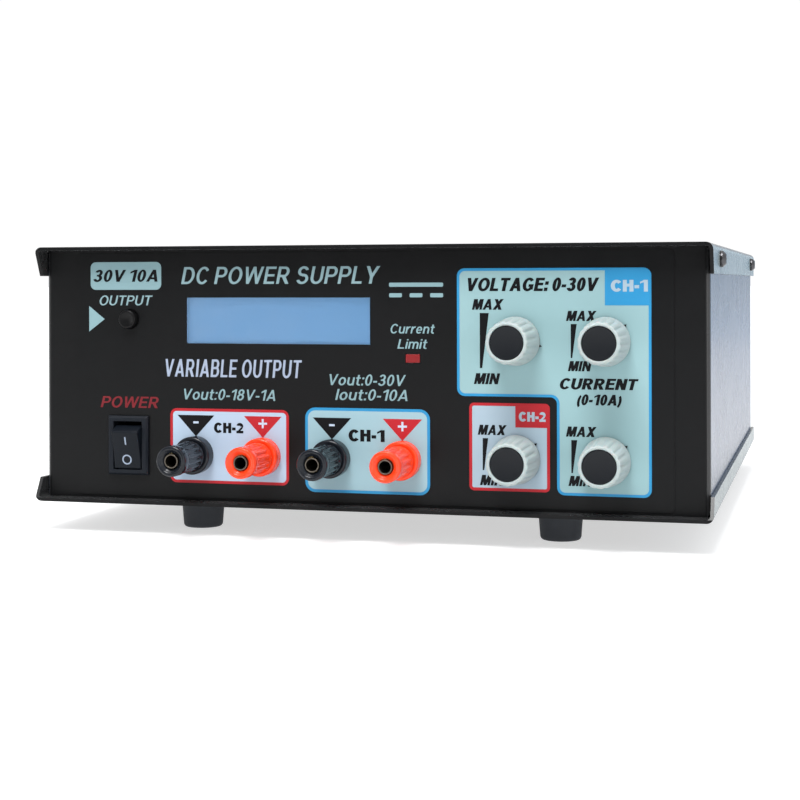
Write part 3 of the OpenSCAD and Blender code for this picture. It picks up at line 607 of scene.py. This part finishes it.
def glyph(letter, s, h):
    """(width, pieces) of a letter with upright strokes s wide and level strokes h tall."""
    x = 0.73  # height of small letters
    stem = slab(0, 0, s, 1)
    if letter == "A":
        top = 0.42 - s / 2
        return 0.84, [lean(0, top, s), lean(0.84 - s, top, s), slab(0.16, 0.2, 0.68, 0.2 + h)]
    if letter == "B":
        return 0.74, [stem, slab(0, 1 - h, 0.42, 1), slab(0, 0.45, 0.42, 0.45 + h), slab(0, 0, 0.42, h),
                      *band(0.42, 0.3, 0.32, 0.3, s, h, -90, 90),
                      *band(0.41, 0.725, 0.29, 0.275, s, h, -90, 90)]
    if letter == "C":
        return 0.78, band(0.41, 0.5, 0.41, 0.515, s, h, 38, 322)
    if letter == "D":
        return 0.77, [stem, slab(0, 1 - h, 0.35, 1), slab(0, 0, 0.35, h),
                      *band(0.35, 0.5, 0.42, 0.5, s, h, -90, 90)]
    if letter == "E":
        return 0.66, [stem, slab(0, 1 - h, 0.65, 1), slab(0, 0.43, 0.6, 0.43 + h), slab(0, 0, 0.66, h)]
    if letter == "G":
        return 0.82, [*band(0.42, 0.5, 0.42, 0.515, s, h, 38, 318),
                      slab(0.8 - s, 0.11, 0.8, 0.52), slab(0.44, 0.52 - h, 0.8, 0.52)]
    if letter == "H":
        return 0.75, [stem, slab(0.75 - s, 0, 0.75, 1), slab(0, 0.43, 0.75, 0.43 + h)]
    if letter == "I":
        return s, [stem]
    if letter == "L":
        return 0.62, [stem, slab(0, 0, 0.62, h)]
    if letter == "M":
        return 0.88, [slab(0, 0, s * 0.92, 1), slab(0.88 - s * 0.92, 0, 0.88, 1),
                      [(0, 1), (0.44 - s * 0.45, 0), (0.44 + s * 0.45, 0), (s * 1.4, 1)],
                      [(0.88, 1), (0.88 - s * 1.4, 1), (0.44 - s * 0.45, 0), (0.44 + s * 0.45, 0)]]
    if letter == "N":
        return 0.76, [stem, slab(0.76 - s, 0, 0.76, 1), lean(0.76 - s * 1.08, 0, s * 1.08)]
    if letter == "O":
        return 0.86, band(0.43, 0.5, 0.43, 0.515, s, h)
    if letter in "PR":
        leg = [[(0.26, 0.45), (0.5, 0.45), (0.78, 0), (0.78 - s * 1.2, 0)]] if letter == "R" else []
        return (0.78 if leg else 0.7), [stem, slab(0, 1 - h, 0.41, 1), slab(0, 0.39, 0.41, 0.39 + h),
                                        *band(0.41, 0.695, 0.3, 0.305, s, h, -90, 90), *leg]
    if letter == "S":
        return 0.74, [*band(0.36, 0.73, 0.33, 0.285, s, h, 18, 262),
                      *band(0.38, 0.285, 0.36, 0.3, s, h, -165, 82),
                      [(0.3, 0.6), (0.3, 0.445), (0.44, 0.42), (0.44, 0.57)]]
    if letter == "T":
        return 0.7, [slab(0.35 - s / 2, 0, 0.35 + s / 2, 1), slab(0, 1 - h, 0.7, 1)]
    if letter == "U":
        return 0.76, [slab(0, 0.36, s, 1), slab(0.76 - s, 0.36, 0.76, 1),
                      *band(0.38, 0.365, 0.38, 0.38, s, h, 180, 360)]
    if letter == "V":
        return 0.82, [lean(0.41 - s / 2, 0, s), lean(0.41 - s / 2, 0.82 - s, s)]
    if letter == "W":
        w = s * 0.95
        return 1.16, [lean(0.29 - w / 2, 0, w), lean(0.29 - w / 2, 0.58 - w / 2, w),
                      lean(0.87 - w / 2, 0.58 - w / 2, w), lean(0.87 - w / 2, 1.16 - w, w)]
    if letter == "X":
        return 0.82, [lean(0, 0.82 - s * 1.2, s * 1.2), lean(0.82 - s * 1.2, 0, s * 1.2)]
    if letter == "Y":
        w = s * 1.12
        return 0.82, [slab(0.41 - s / 2, 0, 0.41 + s / 2, 0.45), lean(0.41 - s / 2, 0, w, 0.38, 1),
                      lean(0.41 - s * 0.62, 0.82 - w, w, 0.38, 1)]
    if letter == "0":
        return 0.61, band(0.305, 0.5, 0.305, 0.515, s, h)
    if letter == "1":
        flag = [(0, 0.68), (0.26, 0.8), (0.26 + s * 0.6, 1), (0.26, 1), (0.16, 0.92), (0, 0.84)]
        return 0.26 + s, [slab(0.26, 0, 0.26 + s, 1), flag]
    if letter == "2":
        neck = [(0, 0), (0.02, 0.13), (0.37, 0.52), (0.43, 0.62)]
        neck += [(0.61, 0.6), (0.54, 0.44), (0.25, 0.12), (0.26, 0)]
        return 0.64, [*band(0.32, 0.7, 0.31, 0.315, s, h, -20, 168), slab(0, 0, 0.64, h), neck]
    if letter == "3":
        return 0.63, [*band(0.3, 0.735, 0.28, 0.28, s, h, -85, 165),
                      *band(0.31, 0.285, 0.315, 0.3, s, h, -168, 85), slab(0.19, 0.45, 0.34, 0.45 + h * 0.85)]
    if letter == "8":
        return 0.62, [*band(0.31, 0.735, 0.275, 0.28, s, h), *band(0.31, 0.285, 0.31, 0.3, s, h)]
    if letter == "-":
        return 0.33, [slab(0, 0.28, 0.33, 0.28 + h * 1.1)]
    if letter == ":":
        return s, [slab(0, 0, s, s), slab(0, x - s, s, x)]
    if letter == "(":
        return 0.3, band(0.44, 0.36, 0.44, 0.7, s * 0.9, s * 0.7, 125, 235)
    if letter == ")":
        return 0.3, band(-0.14, 0.36, 0.44, 0.7, s * 0.9, s * 0.7, -55, 55)
    if letter == "e":
        return 0.62, [*band(0.31, 0.365, 0.31, 0.38, s, h, 0, 320), slab(0.08, 0.31, 0.6, 0.31 + h * 0.8)]
    if letter == "i":
        return s, [slab(0, 0, s, x), slab(0, 1 - h, s, 1)]
    if letter == "m":
        w = s * 0.95
        arch = 0.24 + w / 4
        return 0.96, [slab(0, 0, w, x), slab(0.48 - w / 2, 0, 0.48 + w / 2, 0.5),
                      slab(0.96 - w, 0, 0.96, 0.5), *band(arch, 0.455, arch, 0.29, w, h, 0, 180),
                      *band(0.72 - w / 4, 0.455, arch, 0.29, w, h, 0, 180)]
    if letter == "n":
        return 0.62, [slab(0, 0, s, x), slab(0.62 - s, 0, 0.62, 0.45),
                      *band(0.31, 0.44, 0.31, 0.305, s, h, 0, 180)]
    if letter == "o":
        return 0.66, band(0.33, 0.365, 0.33, 0.38, s, h)
    if letter == "r":
        return 0.42, [slab(0, 0, s, x), *band(0.36, 0.42, 0.3, 0.325, s, h, 72, 175)]
    if letter == "t":
        return 0.42, [slab(0.1, 0.2, 0.1 + s, 0.95), slab(0, x - h * 0.9, 0.4, x),
                      *band(0.35, 0.22, 0.25, 0.235, s, h, 180, 295)]
    if letter == "u":
        return 0.62, [slab(0, 0.29, s, x), slab(0.62 - s, 0, 0.62, x),
                      *band(0.31, 0.295, 0.31, 0.31, s, h, 180, 360)]
    return 0.16, []


def joined_outline(pieces):
    """The pieces run together into one flat shape: (corners, triangles)."""
    corners, faces = [], []
    for piece in pieces:
        area = sum(p[0] * q[1] - q[0] * p[1] for p, q in zip(piece, piece[1:] + piece[:1]))
        faces.append(range(len(corners), len(corners) + len(piece)))
        corners += [Vector(p) for p in (piece if area > 0 else reversed(piece))]
    made = delaunay_2d_cdt(corners, [], [list(f) for f in faces], 1, 1e-5)
    return made[0], [face for face, source in zip(made[2], made[5]) if source]


def print_text(name, words, x0, x1, z0, z1, material, layer=1, slant=0.0, stem=0.2, bar=0.165, space=0.1):
    """Lettering stretched to fill the box from (x0, z0) to (x1, z1) in panel millimetres."""
    points, triangles, at = [], [], 0.0
    for letter in words:
        width, pieces = glyph(letter, stem, bar)
        if pieces:
            corners, faces = joined_outline(pieces)
            triangles += [[i + len(points) for i in face] for face in faces]
            points += [(at + c.x + slant * c.y, c.y) for c in corners]
        at += width + space
    left, right = min(p[0] for p in points), max(p[0] for p in points)
    low, high = min(p[1] for p in points), max(p[1] for p in points)

    def on_panel(x, y):
        across, up = (x - left) / (right - left), (y - low) / (high - low)
        return panel_point(x0 + across * (x1 - x0), z0 + up * (z1 - z0), layer)

    bm = bmesh.new()
    verts = [bm.verts.new(on_panel(x, y)) for x, y in points]
    for triangle in triangles:
        bm.faces.new([verts[i] for i in triangle])
    bmesh.ops.dissolve_limit(bm, angle_limit=math.radians(0.5), verts=bm.verts, edges=bm.edges)
    made = bmesh.ops.extrude_face_region(bm, geom=list(bm.faces))["geom"]
    moved = [v for v in made if isinstance(v, bmesh.types.BMVert)]
    bmesh.ops.translate(bm, vec=(0, INK * MM, 0), verts=moved)
    return make_object("print_" + name, mesh_from(bm, name), material, "case")


def inset_box(x0, z0, x1, z1, radius, edge):
    return rounded_box(x0 + edge, z0 + edge, x1 - edge, z1 - edge, max(0.3, radius - edge))


def framed_box(name, x0, z0, x1, z1, radius, edge, border, fill):
    print_shape(name + "_border", rounded_box(x0, z0, x1, z1, radius), border)
    print_shape(name + "_fill", inset_box(x0, z0, x1, z1, radius, edge), fill, 2)


def stepped_outline(inset):
    """The outline round the three CH-1 knobs, moved inwards by inset."""
    left, step, right = 34.0 + inset, 68.1 + inset, 99.5 - inset
    low, ledge, top = 7.0 + inset, 39.6 + inset, 82.8 - inset
    r, inner = 2.6 - inset * 0.8, 2.2 + inset * 0.8
    points = arc((step + r, low + r), r, 180, 270, 6)
    points += arc((right - r, low + r), r, 270, 360, 6)
    points += arc((right - r, top - r), r, 0, 90, 6)
    points += arc((left + r, top - r), r, 90, 180, 6)
    points += arc((left + r, ledge + r), r, 180, 270, 6)
    points += arc((step - inner, ledge - inner), inner, 90, 0, 6)
    return points


def wedge_scale(name, x, low_width, high_width, z0, z1):
    """A bar beside a knob that widens from its low end to its high end."""
    print_shape(name, [(x, z0), (x + low_width, z0), (x + high_width, z1), (x, z1)], INK_BLACK, 3)


def polarity(name, x, colour, positive):
    """A triangle pointing down at a post, with its sign."""
    top, low, half = 31.35, 23.85, 6.95
    print_shape(name + "_triangle", [(x - half, top), (x, low), (x + half, top)], colour, 3)
    bar, arm, z = 0.36, 1.6 if positive else 1.0, 28.8
    print_shape(name + "_bar", slab(x - arm, z - bar, x + arm, z + bar), INK_WHITE, 4)
    if positive:
        print_shape(name + "_low", slab(x - bar, z - arm, x + bar, z - bar), INK_WHITE, 4)
        print_shape(name + "_high", slab(x - bar, z + bar, x + bar, z + arm), INK_WHITE, 4)


def add_print():
    slant = 0.21
    small = dict(slant=slant, stem=0.18, bar=0.15, space=0.12)
    fine = dict(slant=slant, stem=0.165, bar=0.135, space=0.13)
    dark = dict(slant=slant, stem=0.245, bar=0.185, space=0.07)
    bold = dict(slant=slant, stem=0.262, bar=0.2, space=0.07)
    heavy = dict(stem=0.285, bar=0.25, space=0.07)

    # Left: rating plate, output arrow, title and legends
    print_shape("rating_plate", rounded_box(-101.1, 75.7, -73.8, 85.6, 2.0), INK_AQUA)
    print_text("rating_words", "30V 10A", -100.0, -75.2, 78.5, 82.9, INK_BLACK, 2,
               slant=slant, stem=0.22, bar=0.165)
    print_shape("output_arrow", [(-101.7, 69.9), (-101.7, 60.7), (-95.7, 65.2)], INK_AQUA)
    print_text("output", "OUTPUT", -97.6, -77.1, 70.1, 73.7, INK_TITLE, **fine)
    print_text("title", "DC POWER SUPPLY", -66.2, 7.1, 77.6, 83.8, INK_TITLE,
               slant=slant, stem=0.175, bar=0.135, space=0.14)
    print_text("kind", "VARIABLE OUTPUT", -72.2, -21.3, 44.8, 51.2, INK_LAVENDER,
               slant=0.14, stem=0.2, bar=0.125, space=0.15)
    print_text("power", "POWER", -97.3, -74.9, 33.5, 37.6, INK_DULL_RED, **small)
    for name, words, *box in (
        ("ch2_rating", "Vout:0-18V-1A", -65.2, -31.1, 36.8, 40.7),
        ("ch1_volts", "Vout:0-30V", -11.2, 16.1, 42.6, 46.5),
        ("ch1_amps", "Iout:0-10A", -9.2, 16.6, 37.5, 41.4),
        ("current", "Current", 10.7, 26.3, 60.6, 63.9),
        ("limit", "Limit", 13.1, 23.7, 55.4, 58.7),
    ):
        print_text(name, words, *box, INK_AQUA, **fine)

    # The direct-current sign: a bar over three dashes, with gaps of 0.6 of a dash
    left, right, bar_z, dash_z, thick, corner = 10.2, 29.2, 76.6, 73.0, 1.4, 0.4
    print_shape("dc_bar", rounded_box(left, bar_z, right, bar_z + thick, corner), INK_AQUA)
    dash = (right - left) / 4.2
    for i in range(3):
        start = left + i * dash * 1.6
        print_shape(f"dc_dash{i}", rounded_box(start, dash_z, start + dash, dash_z + thick, corner), INK_AQUA)

    # Terminal boxes
    framed_box("ch2_terminals", -70.4, 7.4, -26.1, 33.7, 2.4, 1.0, INK_RED, INK_PALE_BLUE_LIT)
    framed_box("ch1_terminals", -20.1, 5.5, 24.5, 34.8, 3.6, 1.0, INK_BLUE, INK_PALE_LIT)
    print_text("ch2_label", "CH-2", -53.9, -42.9, 25.2, 28.9, INK_BLACK, 3, **heavy)
    print_text("ch1_label", "CH-1", -4.4, 8.5, 23.3, 27.5, INK_BLACK, 3, **heavy)
    for post, colour in zip(POSTS, (INK_BLACK, INK_RED, INK_BLACK, INK_RED)):
        polarity(post + "_sign", middle(post + "_cap").x / MM, colour, colour is INK_RED)

    # CH-1 controls
    print_shape("ch1_border", stepped_outline(0), INK_BLUE)
    print_shape("ch1_fill", stepped_outline(0.9), INK_PALE, 2)
    tag = [(84.2, 70.3), (98.9, 70.3), *arc((97.2, 80.4), 1.9, 0, 90, 5), (84.2, 82.3)]
    print_shape("ch1_tag", tag, INK_BLUE, 3)
    print_text("ch1_tag_words", "CH-1", 86.2, 98.4, 74.8, 78.8, INK_PALE_BLUE, 4, **heavy)
    print_text("voltage", "VOLTAGE: 0-30V", 37.8, 82.4, 75.0, 79.6, INK_BLACK, 3, **bold)
    print_text("current_word", "CURRENT", 69.1, 95.3, 42.3, 46.1, INK_BLACK, 3, **bold)
    print_text("current_range", "(0-10A)", 74.8, 89.7, 36.4, 40.8, INK_BLACK, 3, **bold)
    for name, low, high, wedge in (
        ("voltage", (39.8, 48.9, 43.7, 47.4), (39.2, 50.2, 68.8, 72.4), (41.9, 0.8, 3.1, 49.1, 67.7)),
        ("coarse", (71.8, 79.9, 48.4, 51.8), (71.2, 81.5, 65.1, 68.5), (72.8, 0.5, 2.0, 52.8, 64.1)),
        ("fine", (71.9, 80.2, 10.2, 13.6), (71.1, 81.4, 26.6, 30.0), (72.9, 0.5, 2.0, 14.5, 25.5)),
        ("ch2", (41.8, 50.4, 9.6, 13.1), (41.1, 51.1, 26.6, 30.0), (42.8, 0.5, 1.9, 14.7, 25.5)),
    ):
        print_text(name + "_min", "MIN", *low, INK_BLACK, 3, **dark)
        print_text(name + "_max", "MAX", *high, INK_BLACK, 3, **dark)
        wedge_scale(name + "_wedge", *wedge)

    # CH-2 control
    framed_box("ch2_control", 38.2, 7.8, 65.7, 37.4, 1.6, 1.0, INK_RED, INK_PALE_BLUE)
    print_shape("ch2_tag", slab(54.0, 29.3, 65.2, 36.8), INK_RED, 3)
    print_text("ch2_tag_words", "CH-2", 55.2, 64.3, 31.3, 34.6, INK_PALE_BLUE, 4, **heavy)


# ---- Knobs ----


def add_knob(name):
    """White knob with 18 soft flutes, its black cap set in the front."""
    x, z, base, front, r_base = facing_front(name + "_knob")
    length, r_front, cap_r, flutes = front - base, 7.05, 5.72, 18
    start = -joint_of(name + "_knob")["range_deg"][1]

    def radius(out):
        return r_base + (r_front - r_base) * (out - base) / length

    outline = [(radius(base) - 1.4, base), (radius(base) - 0.35, base), (radius(base) - 0.1, base + 0.12)]
    outline.append((radius(base + 0.4), base + 0.4))
    levels = 16
    for i in range(1, levels):
        out = base + 0.4 + (length - 1.3) * i / levels
        outline.append((radius(out), out))
    rim, seat, bore = 0.85, front - 1.1, cap_r - 2.4
    for degrees in (0, 22, 45, 68, 90):
        a = math.radians(degrees)
        outline.append((r_front - rim + rim * math.cos(a), front - rim + rim * math.sin(a)))
    outline += [(cap_r + 0.28, front), (cap_r + 0.06, front - 0.14), (cap_r, front - 0.4), (cap_r, seat)]
    outline += [(bore, seat), (bore, base)]

    def wave(angle, radius_here, out):
        if radius_here <= cap_r + 0.5:
            return 0
        fade_in = soft_step(out, base + 1.8, base + 7.0)
        fade_out = 1 - 0.6 * soft_step(out, front - 2.2, front - 0.2)
        depth = 0.48 * fade_in * fade_out
        groove = 0.5 + 0.5 * math.cos(flutes * (angle - math.radians(start)))
        return -depth * groove ** 2.0

    bm = bmesh.new()
    turned(bm, outline + outline[:1], flutes * 16, (x, z), wave)
    bmesh.ops.remove_doubles(bm, verts=bm.verts, dist=1e-6)
    stand_in(name + "_knob", mesh_from(bm, name, 50), KNOB_WHITE, name + "_knob_look")

    # Cap with a rolled edge and a shallow dish
    clear = 0.08
    r, top = cap_r - clear, front - 0.28
    dip = 0.4
    dish = [(r * t, top - dip * (1 - t ** 2)) for t in (0, 0.1, 0.2, 0.35, 0.5, 0.65, 0.8, 0.9)]
    edge = [(r - 0.28, top), (r - 0.1, top - 0.06), (r, top - 0.22), (r, front - 1.0), (0, front - 1.0)]
    bm = bmesh.new()
    turned(bm, dish + edge, 96, (x, z))
    stand_in(name + "_knob_cap", mesh_from(bm, name, 50), KNOB_BLACK, name + "_cap_look")


# ---- Binding posts ----


def post_plastic(post):
    return POST_RED if "positive" in post else POST_BLACK


def add_post_cap(post):
    """Screw cap: plain ring at the front, flutes, a plain lip at the back, and the socket's funnel."""
    node = post + "_cap"
    x, z, base, front, r = facing_front(node)
    flutes, bore = 14, 2.78
    flute_start, flute_end = base + 1.9, front - 4.4
    outline = [(bore, base), (r - 0.5, base)]
    outline += arc((r - 0.5, base + 0.5), 0.5, -90, 0, 4)[1:]
    outline += [(r, base + 1.5), (r - 0.12, base + 1.85), (r - 0.2, base + 2.2)]
    steps, run = 14, flute_end - flute_start - 0.8
    outline += [(r - 0.2, flute_start + 0.4 + run * i / steps) for i in range(steps + 1)]
    outline += [(r - 0.12, flute_end + 0.25), (r, flute_end + 0.6), (r, front - 0.9)]
    outline += arc((r - 0.9, front - 0.9), 0.9, 0, 90, 6)[1:]
    outline += [(r - 1.2, front - 0.05), (r - 1.45, front - 0.3), (r - 2.0, front - 1.0)]
    outline += [(bore + 0.2, front - 1.25), (bore, front - 1.45), (bore, base)]

    def wave(angle, radius_here, out):
        if radius_here < r - 0.6:
            return 0
        fade_in = soft_step(out, flute_start, flute_start + 0.9)
        fade_out = 1 - soft_step(out, flute_end - 0.7, flute_end + 0.3)
        depth = 0.62 * fade_in * fade_out
        groove = 0.5 + 0.5 * math.cos(flutes * angle)
        return -depth * groove ** 1.5

    bm = bmesh.new()
    turned(bm, outline, flutes * 14, (x, z), wave)
    bmesh.ops.remove_doubles(bm, verts=bm.verts, dist=1e-6)
    stand_in(node, mesh_from(bm, node, 42), post_plastic(post))


def add_collars(node, posts):
    """Fixed collars at the panel, each with a stepped, rounded rim."""
    z, back, front = facing_front(node)[1:4]
    label = -FACE_Y / MM
    r, bore, spigot = 6.65, 2.52, 3.9
    bm = bmesh.new()
    for post in posts:
        x = middle(post + "_cap").x / MM
        outline = [(bore, back), (spigot, back), (spigot, label)]
        outline += [(r - 0.25, label), (r, label + 0.25), (r, front - 0.8)]
        outline += arc((r - 0.8, front - 0.8), 0.8, 0, 90, 5)[1:]
        outline += [(r - 1.3, front), (r - 1.5, front - 0.15), (bore, front - 0.15), (bore, back)]
        turned(bm, outline, 96, (x, z))
    bmesh.ops.remove_doubles(bm, verts=bm.verts, dist=1e-6)
    stand_in(node, mesh_from(bm, node, 42), post_plastic(posts[0]))


# ---- Power switch, output button, lamp and display ----


def add_rocker():
    """Rocker with a hollow face, rounded edges and its two marks."""
    node = "switch_rocker"
    joint = joint_of(node)
    pivot = Vector(joint["pos_m"])
    tilt = math.radians(joint["range_deg"][1] / 2)
    half_w, half_l, face, dip = 5.05, 6.85, 7.0, 0.5

    def place(x, up, out):
        """From the rocker's own frame, at its middle position, to the shared frame."""
        turned_up = up * math.cos(tilt) - out * math.sin(tilt)
        turned_out = up * math.sin(tilt) + out * math.cos(tilt)
        return pivot + Vector((x, -turned_out, turned_up)) * MM

    def face_out(up):
        return face - dip * (1 - (abs(up) / half_l) ** 2)

    steps, shoulder, foot = 16, 7.9, 5
    ups = [-half_l + 2 * half_l * i / steps for i in range(steps + 1)]
    side = [(-shoulder, 2.0), *((up, face_out(up)) for up in ups), (shoulder, 2.0)]
    side += [(foot, -1.5), (-foot, -1.5)]
    bm = bmesh.new()
    close_between(bm, *[[bm.verts.new(place(x, up, out)) for up, out in side] for x in (-half_w, half_w)])
    bmesh.ops.recalc_face_normals(bm, faces=bm.faces)
    sharp = [e for e in bm.edges if e.is_manifold and e.calc_face_angle() > math.radians(30)]
    bmesh.ops.bevel(bm, geom=sharp, offset=0.45 * MM, segments=4, profile=0.5, affect="EDGES")
    # Pivot pin across the rocker, 2 mm thick
    pin_end, around = 5.98, full_turn(24)
    close_between(bm, *[
        [bm.verts.new(place(x, math.cos(a), math.sin(a))) for a in around] for x in (-pin_end, pin_end)
    ])
    stand_in(node, mesh_from(bm, node, 30), SWITCH_BLACK, "rocker_look")

    def mark(name, *rings):
        """Ink on the face, from just under it to just over it: one ring, or an outer and an inner one."""
        bm = bmesh.new()
        low, high = [
            [[bm.verts.new(place(x, up, face_out(up) + lift)) for x, up in ring] for ring in rings]
            for lift in (-0.05, 0.02)
        ]
        for first, second in zip(low, high):
            join_rows(bm, first, second)
        if len(rings) == 2:
            join_rows(bm, *high)
        else:
            bm.faces.new(high[0])
        make_object(name, mesh_from(bm, name), INK_MARK, body_of(node))

    bar_w, bar_low, bar_high = 0.26, 1.9, 4.8
    o_up, o_outer, o_inner, o_steps = -3.6, 1.8, 1.32, 32
    last = 360 * (o_steps - 1) / o_steps
    mark("mark_on", slab(-bar_w, bar_low, bar_w, bar_high))
    mark("mark_off", *[arc((0, o_up), r, 0, last, o_steps - 1) for r in (o_outer, o_inner)])


def add_button():
    """Output button with a hollow top and a rounded rim, a flange behind the panel and a stem."""
    node = "output_button"
    x, z, back, front = facing_front(node)[:4]
    panel = -FACE_Y / MM
    cap_r, lip_r, dish, rim = 3.2, 2.5, 0.5, 0.5
    flange_r, flange_front, flange_back, stem_r = 4.2, panel - 2.7, panel - 4.3, 1.6
    outline = [(0, front - dish), *((t, front - dish * (1 - (t / lip_r) ** 2)) for t in (0.8, 1.5, 2.1))]
    outline += [(lip_r, front), *arc((cap_r - rim, front - rim), rim, 75, 0, 4)]
    outline += [(cap_r, flange_front), (flange_r, flange_front), (flange_r, flange_back)]
    outline += [(stem_r, flange_back), (stem_r, back), (0, back)]
    bm = bmesh.new()
    turned(bm, outline, 72, (x, z))
    stand_in(node, mesh_from(bm, node, 42), BUTTON_BLACK)


def add_display():
    low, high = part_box("lcd_glass")
    look = backlit("lcd_blue", (0.213, 0.340, 0.515), (0.155, 0.312, 0.52), low.x, high.x, 0.52)
    NODES["lcd_glass"].data.materials.clear()
    NODES["lcd_glass"].data.materials.append(look)


# ---- Fan and its guard ----


def add_fan():
    """Rotor with seven curved, twisted blades on a cupped hub."""
    node = "fan_rotor"
    joint = joint_of(node)
    cx, cz = joint["pos_m"][0], joint["pos_m"][2]
    shaft_r, hub_r, tip_r, blades = 1.5 * MM, 12.5 * MM, 27.4 * MM, 7
    frame_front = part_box("fan_frame")[0].y
    y0, y1 = frame_front + 4.6 * MM, frame_front + 23.2 * MM
    bm = bmesh.new()

    rows = [(shaft_r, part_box(node)[0].y), (shaft_r, y0), (hub_r - 0.4 * MM, y0), (hub_r, y0 + 0.4 * MM)]
    rows += [(hub_r, y1 - 1.2 * MM), (hub_r - 0.4 * MM, y1 - 0.35 * MM), (hub_r - 1.2 * MM, y1)]
    rings = [[bm.verts.new(p) for p in circle_points(cx, y, cz, radius, 72)] for radius, y in rows]
    for first, second in zip(rings, rings[1:]):
        join_rows(bm, second, first)
    bm.faces.new(rings[0])
    bm.faces.new(rings[-1][::-1])

    root_r, half_thick, camber = hub_r - 0.6 * MM, 0.6 * MM, 3.2 * MM
    steps_r, steps_c = 8, 8

    def blade_side(turn, offset):
        """One side of a blade, in rows of points from the hub to the tip."""
        grid = []
        for i in range(steps_r + 1):
            t = i / steps_r
            radius = root_r + (tip_r - root_r) * t
            pitch = math.radians(46 - 14 * t)
            chord = (13 + 4 * t) * MM
            row = []
            for k in range(steps_c + 1):
                s = k / steps_c - 0.5
                lift = (0.25 - s * s) * camber + offset * (1 - abs(2 * s) ** 3)
                along = s * chord * math.cos(pitch) + lift * math.sin(pitch)
                y = (y0 + y1) / 2 + s * chord * math.sin(pitch) - lift * math.cos(pitch)
                angle = turn + along / radius + 0.12 * t
                row.append(bm.verts.new((cx + radius * math.cos(angle), y, cz + radius * math.sin(angle))))
            grid.append(row)
        return grid

    edge = [(0, k) for k in range(steps_c)]
    edge += [(i, steps_c) for i in range(steps_r)]
    edge += [(steps_r, k) for k in range(steps_c, 0, -1)]
    edge += [(i, 0) for i in range(steps_r, 0, -1)]
    for turn in full_turn(blades):
        sides = [blade_side(turn, offset) for offset in (-half_thick, half_thick)]
        for grid, order in zip(sides, (1, -1)):
            for i in range(steps_r):
                for k in range(steps_c):
                    corners = grid[i][k], grid[i][k + 1], grid[i + 1][k + 1], grid[i + 1][k]
                    bm.faces.new(corners[::order])
        join_rows(bm, *[[grid[i][k] for i, k in edge] for grid in sides])
    bmesh.ops.remove_doubles(bm, verts=bm.verts, dist=1e-6)
    stand_in(node, mesh_from(bm, node, 40), PART_BLACK)


def wire_tube(bm, points, closed, radius):
    """Round wire along points in a plane that faces the back."""
    back, around, count, rings = Vector((0, 1, 0)), full_turn(10), len(points), []
    for i, p in enumerate(points):
        before = points[i - 1] if closed or i else p
        after = points[(i + 1) % count] if closed or i < count - 1 else p
        side = (after - before).normalized().cross(back).normalized()
        rings.append([bm.verts.new(p + radius * (side * math.cos(a) + back * math.sin(a))) for a in around])
    for first, second in zip(rings, rings[1:] + rings[:1] if closed else rings[1:]):
        join_rows(bm, second, first)
    if not closed:
        bm.faces.new(rings[0])
        bm.faces.new(rings[-1][::-1])


def add_fan_guard():
    """Finger guard of round wire, welded rings on two crossing spokes with eyes for the screws."""
    node = "fan_guard"
    low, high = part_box(node)
    centre = (low + high) / 2
    wire, pitch, eye_r = 0.8 * MM, 25 * MM, 3.1 * MM
    y = high.y - wire
    reach = pitch - 2.4 * MM
    bm = bmesh.new()
    for radius in (10, 16, 22, 28):
        wire_tube(bm, circle_points(centre.x, y, centre.z, radius * MM, 72), True, wire)
    for sx in (-1, 1):
        for sz in (-1, 1):
            eye = circle_points(centre.x + sx * pitch, y, centre.z + sz * pitch, eye_r, 28)
            wire_tube(bm, eye, True, wire)
        along = [(k / 12 - 1) * reach for k in range(25)]
        spoke = [Vector((centre.x + sx * d, y - wire * 0.9, centre.z + d)) for d in along]
        wire_tube(bm, spoke, False, wire)
    stand_in(node, mesh_from(bm, node, 50), CHROME)


# ---- The whole model ----


def dress_cad_nodes():
    for material, names in CAD_LOOKS.items():
        for name in names:
            mesh = NODES[name].data
            mesh.materials.clear()
            mesh.materials.append(material)


def repaint(piece, material, chosen):
    """The faces whose normal is chosen take another coat."""
    piece.data.materials.append(material)
    for face in piece.data.polygons:
        if chosen(face.normal):
            face.material_index = len(piece.data.materials) - 1


def faces_front(normal):
    return normal.y < -0.9


def faces_side(normal):
    return abs(normal.x) > 0.9


def build():
    dress_cad_nodes()
    add_camera()
    add_studio()
    # On each cover, faces that face the front take painted shade and side faces take the coat with painted
    # aqua sheen.
    for cover in ("top_cover", "bottom_cover"):
        piece = refined(cover, COVER_COAT, 0.28, 3)
        repaint(piece, FRONT_FACE_SHADE, faces_front)
        repaint(piece, FLANGE_PAINTED_SHEEN_COAT, faces_side)
    # The shell's front faces take the same painted shade.
    repaint(refined("front_shell", SHELL_BLUE_SHEEN_COAT, 0.2, 2), FRONT_FACE_SHADE, faces_front)
    for node, material, bevel_mm, segments in (
        ("rear_panel", SHELL_BLUE_SHEEN_COAT, 0.2, 2),
        ("feet", RUBBER, 0.45, 3),
        ("case_screws", DARK_STEEL, 0.18, 2),
        ("fan_screws", DARK_STEEL, 0.18, 2),
        ("switch_housing", BEZEL_BLACK, 0.22, 3),
        ("limit_lamp", LAMP_RED, 0.18, 2),
        ("post_studs", NICKEL, 0.12, 2),
        ("inlet_housing", PART_BLACK, 0.3, 2),
        ("inlet_pins", STEEL, 0.35, 2),
        ("fuse_holder", PART_BLACK, 0.3, 2),
        ("fuse_cap", PART_BLACK, 0.25, 2),
        ("fan_frame", PART_BLACK, 0.4, 2),
    ):
        refined(node, material, bevel_mm, segments)
    for name in KNOBS:
        add_knob(name)
    for post in POSTS:
        add_post_cap(post)
    add_collars("black_post_collars", ("ch2_negative", "ch1_negative"))
    add_collars("red_post_collars", ("ch2_positive", "ch1_positive"))
    add_rocker()
    add_button()
    add_display()
    add_fan()
    add_fan_guard()
    add_print()


build()
